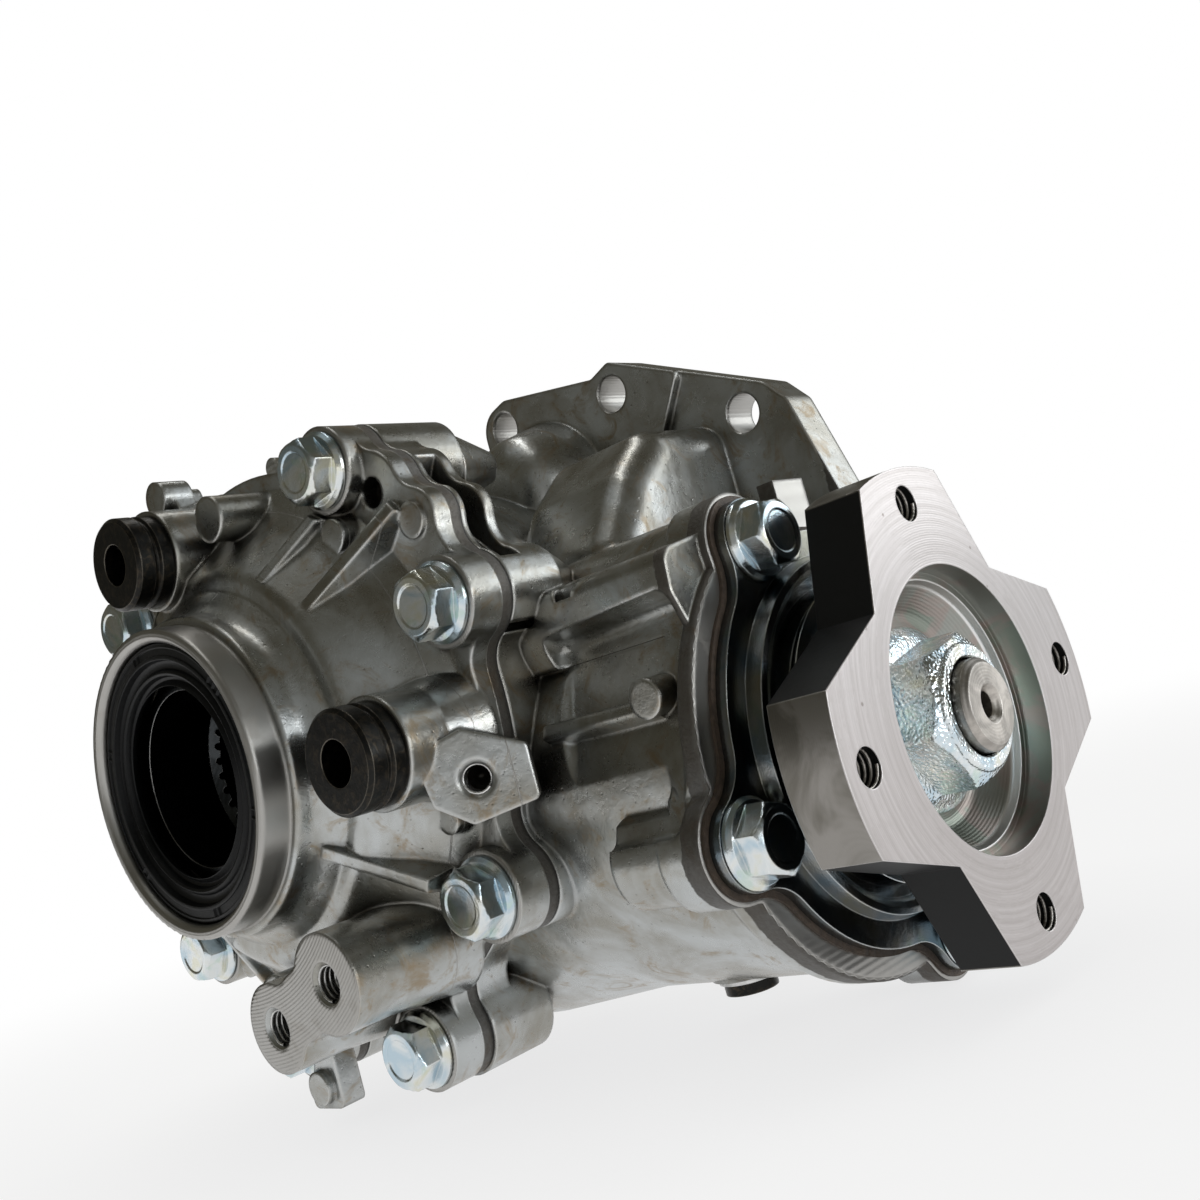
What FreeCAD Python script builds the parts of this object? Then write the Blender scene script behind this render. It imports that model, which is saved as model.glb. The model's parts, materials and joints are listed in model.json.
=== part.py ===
import FreeCAD, Part
import math
import os
from FreeCAD import Vector

# Transfer case: a hollow input shaft drives a hypoid ring gear, whose pinion
# turns the output flange at a right angle.
# Frame, millimetres: the origin is the centre of the output flange's front face.
# The output axis is Y, with the flange facing -Y. The input axis is parallel to X
# and its pilot ring faces -X. Z is up.

# ---- driving dimensions ----
INPUT_Y = 165.0          # input axis to output flange face
INPUT_Z = 33.0           # hypoid offset, input axis above output axis
JOINT_X = -57.0          # plane where the cover meets the housing
SEALANT = 0.5            # sealant film between joint faces
COVER_SEAT_X = -70.0     # seats of the cover bolts
PILOT_RADIUS = 40.0      # input pilot ring
PILOT_FACE_X = -105.5
MOUNT_FACE_X = -99.0     # collars and tapped boss on the cover
FAR_FACE_X = 64.0        # end of the far bearing boss
CHAMBER_RADIUS = 70.0    # gear chamber at the joint
FLANGE_RING_RADIUS = 77.0
BOLT_CIRCLE_RADIUS = 81.0
LOBE_RADIUS = 11.3        # lobes of the joint flange around its bolts

FLANGE_RADIUS = 57.0     # output companion flange
FLANGE_THICK = 15.0
FLANGE_PCD = 97.0
FLANGE_PHASE = 4.3       # degrees that the lobes are turned from X at rest
FLANGE_HOLE_RADIUS = 4.3
PROPSHAFT_PILOT_RADIUS = 33.5
HUB_RADIUS = 24.0        # seal track of the companion flange
SHAFT_RADIUS = 14.0      # pinion shaft under the hub and the front bearing
REAR_JOURNAL = 18.0      # pinion shaft under the rear bearing
NOSE_FACE_Y = 34.0       # housing face behind the seal retainer
FLANK_TOP = (-42.0, 47.0)            # (x, z) edges of the sloping flank at the nose
FLANK_FOOT = (-66.0, -12.0)
RECESS_DEPTH = 3.6       # pocket in the flank
BARREL_RADIUS = 55.0     # nose of the housing, around the pinion
RETAINER_BOLT_RADIUS = 55.0

BRACKET_X = 30.0         # front face of the mounting bracket
BRACKET_THICK = 12.0
BRACKET_HOLE_RADIUS = 5.5

RETAINER_Y = 30.2        # front of the seal retainer's plate
RETAINER_BACK_Y = 33.2

SLEEVE_RADIUS = 27.0     # hollow input shaft
SLEEVE_BORE = 21.0
SLEEVE_MOUTH = 23.2      # plain counterbore in front of the splines
SPLINES = 32
FAR_JOURNAL = 25.0       # input shaft under the far bearing

RING_TEETH = 37
PINION_TEETH = 15
RING_OUTER = 63.0
RING_INNER = 46.0
TOOTH_DEPTH = 4.6
MESH_GAP = 1.3           # gap between a tooth tip and the root facing it
MESH_REACH = 43.5        # input axis to the middle of the meshing teeth, along Y
RING_BOLT_COUNT = 8
RING_BOLT_RADIUS = 50.0
ROLLER_TILT = math.radians(14)
MESH_SLOT = 0.66         # share of the pitch that a tooth space takes

SEAL_CASE = 1.5          # wall of an oil seal around its steel case
CLEAR = 0.3              # gap between faces of different bodies

X, Y, Z = Vector(1, 0, 0), Vector(0, 1, 0), Vector(0, 0, 1)


# ---- shared shapes ----
def polar(radius, degrees):
    """point at a radius and angle around the input axis, as (y, z)"""
    a = math.radians(degrees)
    return INPUT_Y + radius * math.cos(a), INPUT_Z + radius * math.sin(a)


def spot(radius, degrees):
    """point at a radius and angle around the output axis, as (x, z)"""
    a = math.radians(degrees)
    return radius * math.cos(a), radius * math.sin(a)


def rod_x(radius, x0, x1, y=INPUT_Y, z=INPUT_Z):
    return Part.makeCylinder(radius, x1 - x0, Vector(x0, y, z), X)


def rod_y(radius, y0, y1, x=0.0, z=0.0):
    return Part.makeCylinder(radius, y1 - y0, Vector(x, y0, z), Y)


def tube_x(outer, inner, x0, x1, y=INPUT_Y, z=INPUT_Z):
    return rod_x(outer, x0, x1, y, z).cut(rod_x(inner, x0, x1, y, z))


def tube_y(outer, inner, y0, y1, x=0.0, z=0.0):
    return rod_y(outer, y0, y1, x, z).cut(rod_y(inner, y0, y1, x, z))


def cone_x(r0, r1, x0, x1, y, z):
    return Part.makeCone(r0, r1, x1 - x0, Vector(x0, y, z), X)


def rounded_wire(corners, radius):
    """closed wire through the corners, each rounded by its radius"""
    count = len(corners)
    radii = radius if isinstance(radius, (list, tuple)) else [radius] * count
    ends = []
    for i, corner in enumerate(corners):
        back = (corners[i - 1] - corner).normalize()
        ahead = (corners[(i + 1) % count] - corner).normalize()
        half = back.getAngle(ahead) / 2
        if radii[i] < 1e-6:
            ends.append((corner, None, corner))
            continue
        reach = radii[i] / math.tan(half)
        centre = corner + (back + ahead).normalize() * (radii[i] / math.sin(half))
        middle = centre - (back + ahead).normalize() * radii[i]
        ends.append((corner + back * reach, middle, corner + ahead * reach))
    edges = []
    for i, (start, middle, end) in enumerate(ends):
        if middle is not None:
            edges.append(Part.Arc(start, middle, end).toShape())
        following = ends[(i + 1) % count][0]
        if end.distanceToPoint(following) > 1e-6:
            edges.append(Part.makeLine(end, following))
    return Part.Wire(edges)


def turned_x(profile, radius=0.0, y=INPUT_Y, z=INPUT_Z):
    """solid turned about a line parallel to X from (x, r) corners"""
    corners = [Vector(x, y + r, z) for x, r in profile]
    face = Part.Face(rounded_wire(corners, radius))
    return face.revolve(Vector(0, y, z), X, 360)


def turned_y(profile, radius=0.0):
    """solid turned about the output axis from (y, r) corners"""
    corners = [Vector(r, y, 0) for y, r in profile]
    face = Part.Face(rounded_wire(corners, radius))
    return face.revolve(Vector(0, 0, 0), Y, 360)


def slab_x(corners, x0, x1, radius=0.0):
    """plate square to X from rounded (y, z) corners"""
    wire = rounded_wire([Vector(x0, y, z) for y, z in corners], radius)
    return Part.Face(wire).extrude(Vector(x1 - x0, 0, 0))


def slab_y(corners, y0, y1, radius=0.0):
    """plate square to Y from rounded (x, z) corners"""
    wire = rounded_wire([Vector(x, y0, z) for x, z in corners], radius)
    return Part.Face(wire).extrude(Vector(0, y1 - y0, 0))


def united(shapes):
    whole = shapes[0]
    for shape in shapes[1:]:
        whole = whole.fuse(shape)
    return whole.removeSplitter()


def group(shapes):
    return Part.makeCompound(shapes)


def pillow(solid, radius):
    """solid with every edge rounded"""
    return solid.makeFillet(radius, solid.Edges)


def web(degrees, inner, outer, base_x):
    """tapered rib standing on the cover: inner and outer are (radius, crest x)"""
    sections = []
    for radius, crest_x in (inner, outer):
        corners = [(base_x, -5.0), (crest_x, -1.6), (crest_x, 1.6), (base_x, 5.0)]
        points = [Vector(x, radius, side) for x, side in corners]
        sections.append(Part.makePolygon(points + points[:1]))
    rib = Part.makeLoft(sections, True, True)
    rib.rotate(Vector(0, 0, 0), X, degrees)
    rib.translate(Vector(0, INPUT_Y, INPUT_Z))
    return rib


def blended_outline(discs, blend):
    """face of overlapping discs (u, v, radius) in the XY plane, hollows filled to a radius"""
    faces = [Part.Face(Part.Wire(Part.makeCircle(r, Vector(u, v, 0)))) for u, v, r in discs]
    face = faces[0].multiFuse(faces[1:]).removeSplitter().Faces[0]
    grown = Part.Face(face.OuterWire).makeOffset2D(blend)
    return grown.makeOffset2D(-blend)


def stand_x(face, x0, x1):
    """an XY face stood up as a (y, z) plate between two x planes"""
    solid = face.extrude(Vector(0, 0, x1 - x0))
    solid.rotate(Vector(0, 0, 0), Vector(1, 1, 1), 120)
    solid.translate(Vector(x0, 0, 0))
    return solid


def stand_y(face, y0, y1):
    """an XY face stood up as an (x, z) plate between two y planes"""
    solid = face.extrude(Vector(0, 0, -(y1 - y0)))
    solid.rotate(Vector(0, 0, 0), X, 90)
    solid.translate(Vector(0, y0, 0))
    return solid


def flange_bolt(seat, direction, thread, shank):
    """hex flange bolt: the shank runs along direction from its seat"""
    washer, across, head = 10.1, 7.5, 8.6
    parts = [Part.makeCone(washer, washer - 1.2, 2.4, Vector(0, 0, 0), Z * -1)]
    corners = [Vector(across / math.cos(math.pi / 6) * math.cos(math.radians(60 * k)),
                      across / math.cos(math.pi / 6) * math.sin(math.radians(60 * k)), 0)
               for k in range(6)]
    hexagon = Part.Face(Part.makePolygon(corners + corners[:1])).extrude(Vector(0, 0, -head))
    crown = Part.makeCone(across + 2.3, across - 0.9, head + 1.0, Vector(0, 0, 0), Z * -1)
    parts.append(hexagon.common(crown))
    parts.append(Part.makeCylinder(thread, shank - 1.5, Vector(0, 0, 0), Z))
    parts.append(Part.makeCone(thread, thread - 1.2, 1.5, Vector(0, 0, shank - 1.5), Z))
    bolt = united(parts)
    bolt.Placement = FreeCAD.Placement(seat, FreeCAD.Rotation(Z, direction))
    return bolt


def tapped_hole(mouth, inward, radius, depth):
    """blind tapped hole with a chamfered mouth, to be cut away"""
    drill = Part.makeCylinder(radius, depth, mouth, inward)
    tip = Part.makeCone(radius, 0, radius * 0.6, mouth + inward * depth, inward)
    chamfer = Part.makeCone(radius + 1.2, radius, 1.2, mouth, inward)
    return united([drill, tip, chamfer])


# ---- housing ----
COVER_BOLTS = [polar(BOLT_CIRCLE_RADIUS, a) for a in (0, 40, 125, 163.2, 214.8, 288)]
COVER_BOLTS += [polar(78.0, 322), polar(86.0, 251)]
DOWELS = [polar(78.5, a) for a in (102, 268)]
RETAINER_BOLTS = [spot(RETAINER_BOLT_RADIUS, a) for a in (114, 194.5, 287, 14.5)]
BRACKET_HOLES = [(147.6, 118.0), (100.6, 112.5), (58.9, 91.1)]
SENSOR_HOLE = (107.0, 89.5)          # plain hole beside a cover bolt
DRAIN_PLUG = (-9.0, 79.0, -52.7)     # seat of the drain plug
FILL_PLUG_Y = 236.0


def joint_outline():
    discs = [(INPUT_Y, INPUT_Z, FLANGE_RING_RADIUS)]
    discs += [(y, z, LOBE_RADIUS) for y, z in COVER_BOLTS]
    # web between two bolts, with a plain hole in it
    discs.append((94.3, 78.5, 8.0))
    discs.append((*SENSOR_HOLE, 10.5))
    return blended_outline(discs, 9.0)


def nose_outline(grow=0.0):
    discs = [(0, 0, BARREL_RADIUS - 3 + grow)]
    discs += [(x, z, 11.4 + grow) for x, z in RETAINER_BOLTS]
    return blended_outline(discs, 14.0)


def housing_skin():
    flange = stand_x(joint_outline(), JOINT_X, JOINT_X + 11)
    drum = turned_x([(JOINT_X, 0), (JOINT_X, 77), (-34, 76), (-8, 67), (38, 66), (47, 56),
                     (49, 47), (FAR_FACE_X, 45), (FAR_FACE_X, 0)],
                    [0, 0, 10, 12, 10, 4, 3, 1.5, 0])
    barrel = turned_y([(NOSE_FACE_Y, 0), (NOSE_FACE_Y, BARREL_RADIUS + 3), (42, BARREL_RADIUS + 3),
                       (46, BARREL_RADIUS), (105, BARREL_RADIUS), (150, 60), (165, 50), (165, 0)],
                      [0, 1, 3, 3, 12, 10, 8, 0])
    nose_plate = stand_y(nose_outline(1.5), NOSE_FACE_Y, NOSE_FACE_Y + 12)
    front = rounded_wire([Vector(x, NOSE_FACE_Y + 3, z) for x, z in
                          [(-22, 63), FLANK_TOP, FLANK_FOOT, (-57, -30), (0, -40), (40, 0), (14, 60)]], 5)
    back = rounded_wire([Vector(x, 96, z) for x, z in
                         [(-26, 68), (-57, 54), (-57, -14), (-50, -36), (0, -46), (50, 0), (20, 72)]], 5)
    flank = Part.makeLoft([front, back], True, True)
    return [flange, drum, barrel, nose_plate, flank]


def bolt_bosses():
    bosses = []
    for y, z in COVER_BOLTS:
        bosses.append(rod_x(11.5, JOINT_X, -40, y, z))
        bosses.append(cone_x(11.5, 6.0, -40, -30, y, z))
    tall_y, tall_z = COVER_BOLTS[2]
    bosses.append(rod_x(11.5, JOINT_X, -32, tall_y, tall_z))
    bosses.append(cone_x(11.5, 5.0, -32, -14, tall_y, tall_z - 2))
    low_y, low_z = COVER_BOLTS[-1]
    bosses.append(rod_x(12.0, JOINT_X, -36, low_y, low_z))
    for x, z in RETAINER_BOLTS:
        bosses.append(rod_y(11.0, NOSE_FACE_Y, 62, x, z))
    return bosses


def bracket():
    outline = [(157, 124), (145, 127), (107, 119.5), (99, 122), (50, 97), (44, 90), (36, 60),
               (38, 20), (120, 10), (156, 60)]
    plate = slab_x(outline, BRACKET_X, BRACKET_X + BRACKET_THICK, [8.5, 6, 3, 3, 4, 4, 8, 8, 8, 10])
    pad = slab_x([(157, 124), (145, 127), (107, 119.5), (99, 122), (75, 109.7), (88, 92), (150, 92),
                  (157, 105)], BRACKET_X - 2.5, BRACKET_X, [8.5, 6, 3, 3, 2, 6, 6, 8])
    back_x = BRACKET_X + BRACKET_THICK - 1
    bulge = pillow(slab_y([(back_x, 40), (back_x, 93), (2, 92), (-13, 80), (-34, 52)], 68, 112), 9.0)
    heel = turned_x([(4, 0), (4, 17), (BRACKET_X + 2, 25), (BRACKET_X + 2, 0)], [0, 12, 0, 0], 135, 91)
    return [plate, pad, bulge, heel]


def housing_details():
    parts = []
    # shelf that closes the flank at the top, back to the bolt boss
    parts.append(slab_y([(-49.5, 43), (-48.5, 52.5), (-22, 57), (-22, 36), (-46, 34)],
                        NOSE_FACE_Y + 2, 92, [3, 4, 0, 0, 2]))
    parts.append(rod_y(11.0, 60, 88, *RETAINER_BOLTS[0]))
    # upright lug over the retainer
    parts.append(Part.makeBox(13, 5, 26, Vector(-2.5, NOSE_FACE_Y, 39)))
    # drain boss
    x, y, z = DRAIN_PLUG
    parts.append(Part.makeCylinder(9.5, 16, Vector(x, y, z), Z))
    # filler boss at the back of the drum
    parts.append(rod_y(15.0, 222, FILL_PLUG_Y, -2, INPUT_Z + 4))
    # ribs from the drum to the far boss
    for degrees in (20, 70, 200, 250, 310):
        rib = slab_y([(36, 40), (36, 70), (43, 70), (60, 48), (60, 40)], -2.5, 2.5, 0.0)
        rib.translate(Vector(0, INPUT_Y, INPUT_Z))
        rib.rotate(Vector(0, INPUT_Y, INPUT_Z), X, degrees - 90)
        parts.append(rib)
    return parts


def flank_point(down, proud):
    """(x, z) on the flank: down its slope from the top edge, and proud of its surface"""
    slope = Vector(FLANK_FOOT[0] - FLANK_TOP[0], 0, FLANK_FOOT[1] - FLANK_TOP[1]).normalize()
    point = Vector(FLANK_TOP[0], 0, FLANK_TOP[1]) + slope * down + slope.cross(Y) * -proud
    return point.x, point.z


def flank_recess():
    """shallow pocket sunk square to the sloping flank"""
    x, z = flank_point(0, 0)
    down_x, down_z = flank_point(1, 0)
    out_x, out_z = flank_point(0, 1)
    down = Vector(down_x - x, 0, down_z - z)
    out = Vector(out_x - x, 0, out_z - z)
    mouth = Vector(x, 0, z) + out * 30.0
    corners = [mouth + down * s + Y * y for y, s in [(37.5, 5), (80, 7), (76, 60), (39, 60)]]
    block = Part.Face(Part.makePolygon(corners + corners[:1])).extrude(out * -(30.0 + RECESS_DEPTH))
    return pillow(block, 3.2)


def flank_rib():
    """stiffening rib on the floor of the recess, with a round pad at its front end"""
    corners = [flank_point(26, -6), flank_point(27.5, 1.2), flank_point(31, 1.2), flank_point(32.5, -6)]
    rib = slab_y(corners, 46, 82, [0, 1, 1, 0])
    x, z = flank_point(28.5, 2.5)
    pad = rod_x(4.6, x, x + 12, 47, z)
    return [rib, pad]


def housing_cavity():
    chamber = turned_x([(JOINT_X - 1, 0), (JOINT_X - 1, CHAMBER_RADIUS), (-34, CHAMBER_RADIUS),
                        (-10, 62), (32, 61), (38, 54), (40, 38), (40, 0)],
                       [0, 0, 8, 8, 8, 3, 0, 0])
    nose = turned_y([(106, 0), (106, 43), (112, 47), (150, 50), (160, 40), (160, 0)],
                    [0, 0, 3, 3, 4, 0])
    rear_seat = rod_y(36.0, 84.5, 108)
    middle = rod_y(30.0, 60, 86)
    front_seat = rod_y(32.0, 42, 62)
    mouth = rod_y(34.5, NOSE_FACE_Y - 1, 43)
    far_seat = rod_x(35.0, 36, 56)
    far_mouth = rod_x(32.0, 54, FAR_FACE_X + 1)
    pocket = tube_y(49, 43.5, 66, 112)
    return [chamber, nose, rear_seat, middle, front_seat, mouth, far_seat, far_mouth, pocket]


def main_housing():
    body = united(housing_skin() + bolt_bosses() + bracket() + housing_details())
    body = united([body.cut(flank_recess())] + flank_rib())
    cuts = housing_cavity()
    # nothing of the nose reaches past the joint plane
    cuts.append(Part.makeBox(60, 200, 200, Vector(JOINT_X - 60, 76, -90)))
    # slot and cup in the shelf
    cuts.append(pillow(Part.makeBox(14, 4.5, 16, Vector(-58, 80, 46)), 1.5))
    cuts.append(Part.makeCylinder(4.2, 12, Vector(-45.5, 69, 49.5), Z))
    # groove behind the cover flange, between two bolts
    wedge = slab_x([(106, 86), (82, 61), (70, 72), (96, 100)], JOINT_X + 1.5, JOINT_X + 8, 2)
    cuts.append(wedge)
    for y, z in COVER_BOLTS:
        cuts.append(rod_x(5.0, JOINT_X - 1, JOINT_X + 18, y, z))
    for y, z in DOWELS:
        cuts.append(rod_x(3.0, JOINT_X - 1, JOINT_X + 6, y, z))
    for x, z in RETAINER_BOLTS:
        cuts.append(rod_y(5.0, NOSE_FACE_Y - 1, NOSE_FACE_Y + 20, x, z))
    for y, z in BRACKET_HOLES:
        cuts.append(rod_x(BRACKET_HOLE_RADIUS, BRACKET_X - 30, BRACKET_X + BRACKET_THICK + 1, y, z))
    x, y, z = DRAIN_PLUG
    cuts.append(Part.makeCylinder(5.0, 26, Vector(x, y, z), Z))
    cuts.append(Part.makeCylinder(9.0, 6, Vector(x, y, z - 6), Z))
    cuts.append(rod_y(9.0, 205, FILL_PLUG_Y + 1, -2, INPUT_Z + 4))
    return cut_all(body, cuts)


def cut_all(body, cuts):
    for tool in cuts:
        body = body.cut(tool)
    return body.removeSplitter()


# ---- input cover ----
COLLARS = [(177.8, 94.1), (102.6, 26.2)]     # (y, z) of the mounting collars
BOSS_HOLES = [(128.7, -22.7), (154.7, -32.2)]  # tapped holes of the lower boss
BLOCK_CENTRE = Vector(-76.0, 84.0, 14.5)     # face of the slanted block
BLOCK_AXIS = Vector(-1, -1, 0).normalize()
PADS = [(-84, 152.5, 98.0, 6.2), (-72, 118.7, 82.0, 4.6), (-66.5, 94.3, 78.5, 4.6),
        (-84, 124.7, 48.1, 4.4), (-72, 102.9, 6.7, 3.8), (-72, 208.5, -20.8, 4.0)]
LUG = (-79.0, 184.0, 113.0)
FOOT = (-79.0, 176.0, -53.0)


def dome(grow=0.0):
    """outside of the cover's dome, or its inside when grown by a negative wall"""
    profile = [(JOINT_X, 0), (JOINT_X, 76 + grow), (-65, 73 + grow), (-74 - grow, 62),
               (-86 - grow, 52 + grow), (-90 - grow, 0)]
    return turned_x(profile, [0, 0, 6, 8, 5, 0])


def input_cover():
    base = JOINT_X - SEALANT
    parts = [stand_x(joint_outline(), COVER_SEAT_X + 4.5, base)]
    parts.append(dome().common(rod_x(90, -120, base)))
    parts.append(turned_x([(-60, 0), (-60, 54), (-80, 54), (-91, 42.5), (-97, 42), (-97, PILOT_RADIUS),
                           (PILOT_FACE_X, PILOT_RADIUS), (PILOT_FACE_X, 0)],
                          [0, 0, 9, 6, 1, 0, 0.8, 0]))
    for y, z in COVER_BOLTS:
        parts.append(rod_x(LOBE_RADIUS, COVER_SEAT_X, base, y, z))
    for y, z in COLLARS:
        parts.append(rod_x(13.8, -88.5, -66, y, z))
        parts.append(cone_x(13.8, 17.0, -76, -64, y, z))
    (y0, z0), (y1, z1) = BOSS_HOLES
    boss = blended_outline([(y0, z0, 12.5), ((y0 + y1) / 2, (z0 + z1) / 2, 8.5), (y1, z1, 11.5)], 6.0)
    parts.append(stand_x(boss, MOUNT_FACE_X, -80))
    parts.append(cone_x(12.0, 14.5, -91, base - 4, y0, z0))
    parts.append(cone_x(11.0, 13.0, -91, base - 4, y1, z1))
    parts.append(rod_x(9.0, MOUNT_FACE_X + 6, -80, y1 + 6, z1 + 3))
    for x, y, z, radius in PADS:
        parts.append(rod_x(radius, x, -61, y, z))
    x, y, z = LUG
    parts.append(rod_x(5.2, x, x + 9, y, z))
    parts.append(slab_x([(y - 13, z - 26), (y - 4, z + 2), (y + 4, z + 2), (y + 13, z - 26)],
                        x + 3, x + 12, 3))
    x, y, z = FOOT
    parts.append(slab_x([(y - 7, z - 8), (y + 7, z - 8), (y + 7, z + 26), (y - 7, z + 26)],
                        x + 2, -70, [2, 2, 0, 0]))
    parts.append(rod_x(4.6, x, -70, y, z - 2))
    # webs from the pilot ring out to the flange
    for degrees in (20, 62, 190, 300, 340):
        parts.append(web(degrees, (46, -90), (74, -70), -60))
    parts.append(web(125, (53, -85.5), (69, -71.5), -60))
    parts.append(web(142.8, (50, -85.5), (83.5, -68), -60))
    parts.append(web(216, (44, -91), (72, -76), -60))
    parts.append(slanted_block())
    body = united(parts)
    return cut_all(body, cover_cuts())


def slanted_block():
    side = BLOCK_AXIS.cross(Z)
    corners = [(-13, 9), (-1, 12), (13, 5), (13, -8), (-3, -10), (-11, -4)]
    points = [BLOCK_CENTRE + side * -u + Z * w for u, w in corners]
    return Part.Face(rounded_wire(points, 1.5)).extrude(BLOCK_AXIS * -22)


def cover_cuts():
    base = JOINT_X - SEALANT
    cuts = [rod_x(100, base, base + 60)]
    # space around the ring gear, leaving the hub that holds the bearing
    cuts.append(turned_x([(base + 1, 0), (base + 1, 69.5), (-62, 68), (-70, 57), (-79, 46), (-79, 43),
                          (-66, 43), (-66, 0)], [0, 0, 4, 6, 0, 0, 0, 0]))
    cuts.append(rod_x(38.0, -86, -60))
    cuts.append(rod_x(31.0, -95, -85))
    cuts.append(rod_x(36.5, PILOT_FACE_X - 1, -94))
    cuts.append(cone_x(37.7, 36.5, PILOT_FACE_X, PILOT_FACE_X + 1.2, INPUT_Y, INPUT_Z))
    for y, z in COVER_BOLTS:
        cuts.append(rod_x(5.4, COVER_SEAT_X - 1, base + 1, y, z))
        cuts.append(rod_x(12.4, COVER_SEAT_X - 14, COVER_SEAT_X, y, z))
    for y, z in DOWELS:
        cuts.append(rod_x(3.0, base - 6, base + 1, y, z))
    for y, z in COLLARS:
        cuts.append(rod_x(9.0, -89, -84, y, z))
        cuts.append(rod_x(4.3, -89, -75, y, z))
    for y, z in BOSS_HOLES:
        cuts.append(tapped_hole(Vector(MOUNT_FACE_X, y, z), X, 4.3, 22))
    cuts.append(tapped_hole(BLOCK_CENTRE, BLOCK_AXIS * -1, 3.4, 14))
    y, z = SENSOR_HOLE
    cuts.append(rod_x(4.0, -90, base + 1, y, z))
    return cuts


def mount_collar(y, z):
    """hardened collar, grooved behind its head, pressed into the cover"""
    profile = [(MOUNT_FACE_X, 5.6), (MOUNT_FACE_X, 11.6), (MOUNT_FACE_X + 1, 12.6),
               (MOUNT_FACE_X + 5, 12.6), (MOUNT_FACE_X + 5.6, 11.8), (MOUNT_FACE_X + 6.4, 11.8),
               (MOUNT_FACE_X + 7, 12.6), (-88.5, 12.6), (-88.5, 9.0), (-84.0, 9.0), (-84.0, 5.6)]
    return turned_x(profile, 0, y, z)


def cover_sealant():
    film = stand_x(joint_outline(), JOINT_X - SEALANT, JOINT_X)
    cuts = [rod_x(CHAMBER_RADIUS, JOINT_X - 2, JOINT_X + 2)]
    cuts += [rod_x(5.4, JOINT_X - 2, JOINT_X + 2, y, z) for y, z in COVER_BOLTS]
    cuts += [rod_x(3.0, JOINT_X - 2, JOINT_X + 2, y, z) for y, z in DOWELS]
    y, z = SENSOR_HOLE
    cuts.append(rod_x(4.0, JOINT_X - 2, JOINT_X + 2, y, z))
    return cut_all(film, cuts)


def cover_bolts():
    seats = [Vector(COVER_SEAT_X, y, z) for y, z in COVER_BOLTS]
    return group([flange_bolt(seat, X, 4.9, 29) for seat in seats])


def joint_dowels():
    return group([rod_x(3.0, JOINT_X - 6, JOINT_X + 6, y, z) for y, z in DOWELS])


# ---- seal retainer on the nose ----
def seal_retainer():
    plate = stand_y(nose_outline(-1.0), RETAINER_Y, RETAINER_BACK_Y)
    plate = plate.cut(rod_y(45.5, 0, 60))
    dish = turned_y([(RETAINER_Y, 46), (RETAINER_Y, 44.5), (26.5, 43.6), (26, 42), (26.5, 40.4),
                     (29.5, 39.6), (30, 36.5), (25, 35.6), (24.5, 34.5), (24.5, 32.5), (37, 32.5),
                     (37, 34.3), (33.5, 34.3), (33, 38.5), (32.4, 40.6), (29.4, 41.4), (29.4, 42.6),
                     (RETAINER_BACK_Y, 43.9), (RETAINER_BACK_Y, 46)])
    body = united([plate, dish])
    return cut_all(body, [rod_y(5.4, 20, 40, x, z) for x, z in RETAINER_BOLTS])


def retainer_sealant():
    film = stand_y(nose_outline(0.5), RETAINER_BACK_Y, NOSE_FACE_Y)
    cuts = [rod_y(42.0, 30, 40)]
    cuts += [rod_y(5.4, 30, 40, x, z) for x, z in RETAINER_BOLTS]
    return cut_all(film, cuts)


def retainer_bolts():
    seats = [Vector(x, RETAINER_Y, z) for x, z in RETAINER_BOLTS]
    return group([flange_bolt(seat, Y, 4.9, 21) for seat in seats])


# ---- output flange, nut and pinion ----
def lobed_outline(face_y):
    """outer edge of the companion flange: four lobes with V notches between them"""
    edges = []
    notch = 39.6
    lobe_half = math.asin(17.5 / FLANGE_RADIUS)
    points = []
    for k in range(4):
        mid = math.radians(FLANGE_PHASE + 90 * k)
        start, end = mid - lobe_half, mid + lobe_half
        points.append((start, mid, end, mid + math.radians(45)))

    def at(radius, angle):
        return Vector(radius * math.cos(angle), face_y, radius * math.sin(angle))

    for k, (start, mid, end, valley) in enumerate(points):
        edges.append(Part.Arc(at(FLANGE_RADIUS, start), at(FLANGE_RADIUS, mid),
                              at(FLANGE_RADIUS, end)).toShape())
        following = points[(k + 1) % 4][0] + (2 * math.pi if k == 3 else 0)
        edges.append(Part.makeLine(at(FLANGE_RADIUS, end), at(notch, valley)))
        edges.append(Part.makeLine(at(notch, valley), at(FLANGE_RADIUS, following)))
    return Part.Wire(edges)


def companion_flange():
    plate = Part.Face(lobed_outline(0)).extrude(Vector(0, FLANGE_THICK, 0))
    hub = turned_y([(2, 0), (2, 36), (FLANGE_THICK, 36), (19, 31), (20, HUB_RADIUS), (44, HUB_RADIUS),
                    (44, 0)], [0, 0, 0, 1.5, 0.4, 0.5, 0])
    cup = turned_y([(-1, 0), (-1, PROPSHAFT_PILOT_RADIUS), (7, PROPSHAFT_PILOT_RADIUS), (7, 31.5),
                    (9, 31), (15.5, 25), (15.5, 0)], [0, 0, 0, 0, 1, 3, 0])
    body = united([plate, hub]).cut(cup).cut(rod_y(SHAFT_RADIUS, 0, 60))
    for k in range(4):
        x, z = spot(FLANGE_PCD / 2, FLANGE_PHASE + 90 * k)
        body = body.cut(rod_y(FLANGE_HOLE_RADIUS, -1, FLANGE_THICK + 8, x, z))
    return body.removeSplitter()


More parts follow.
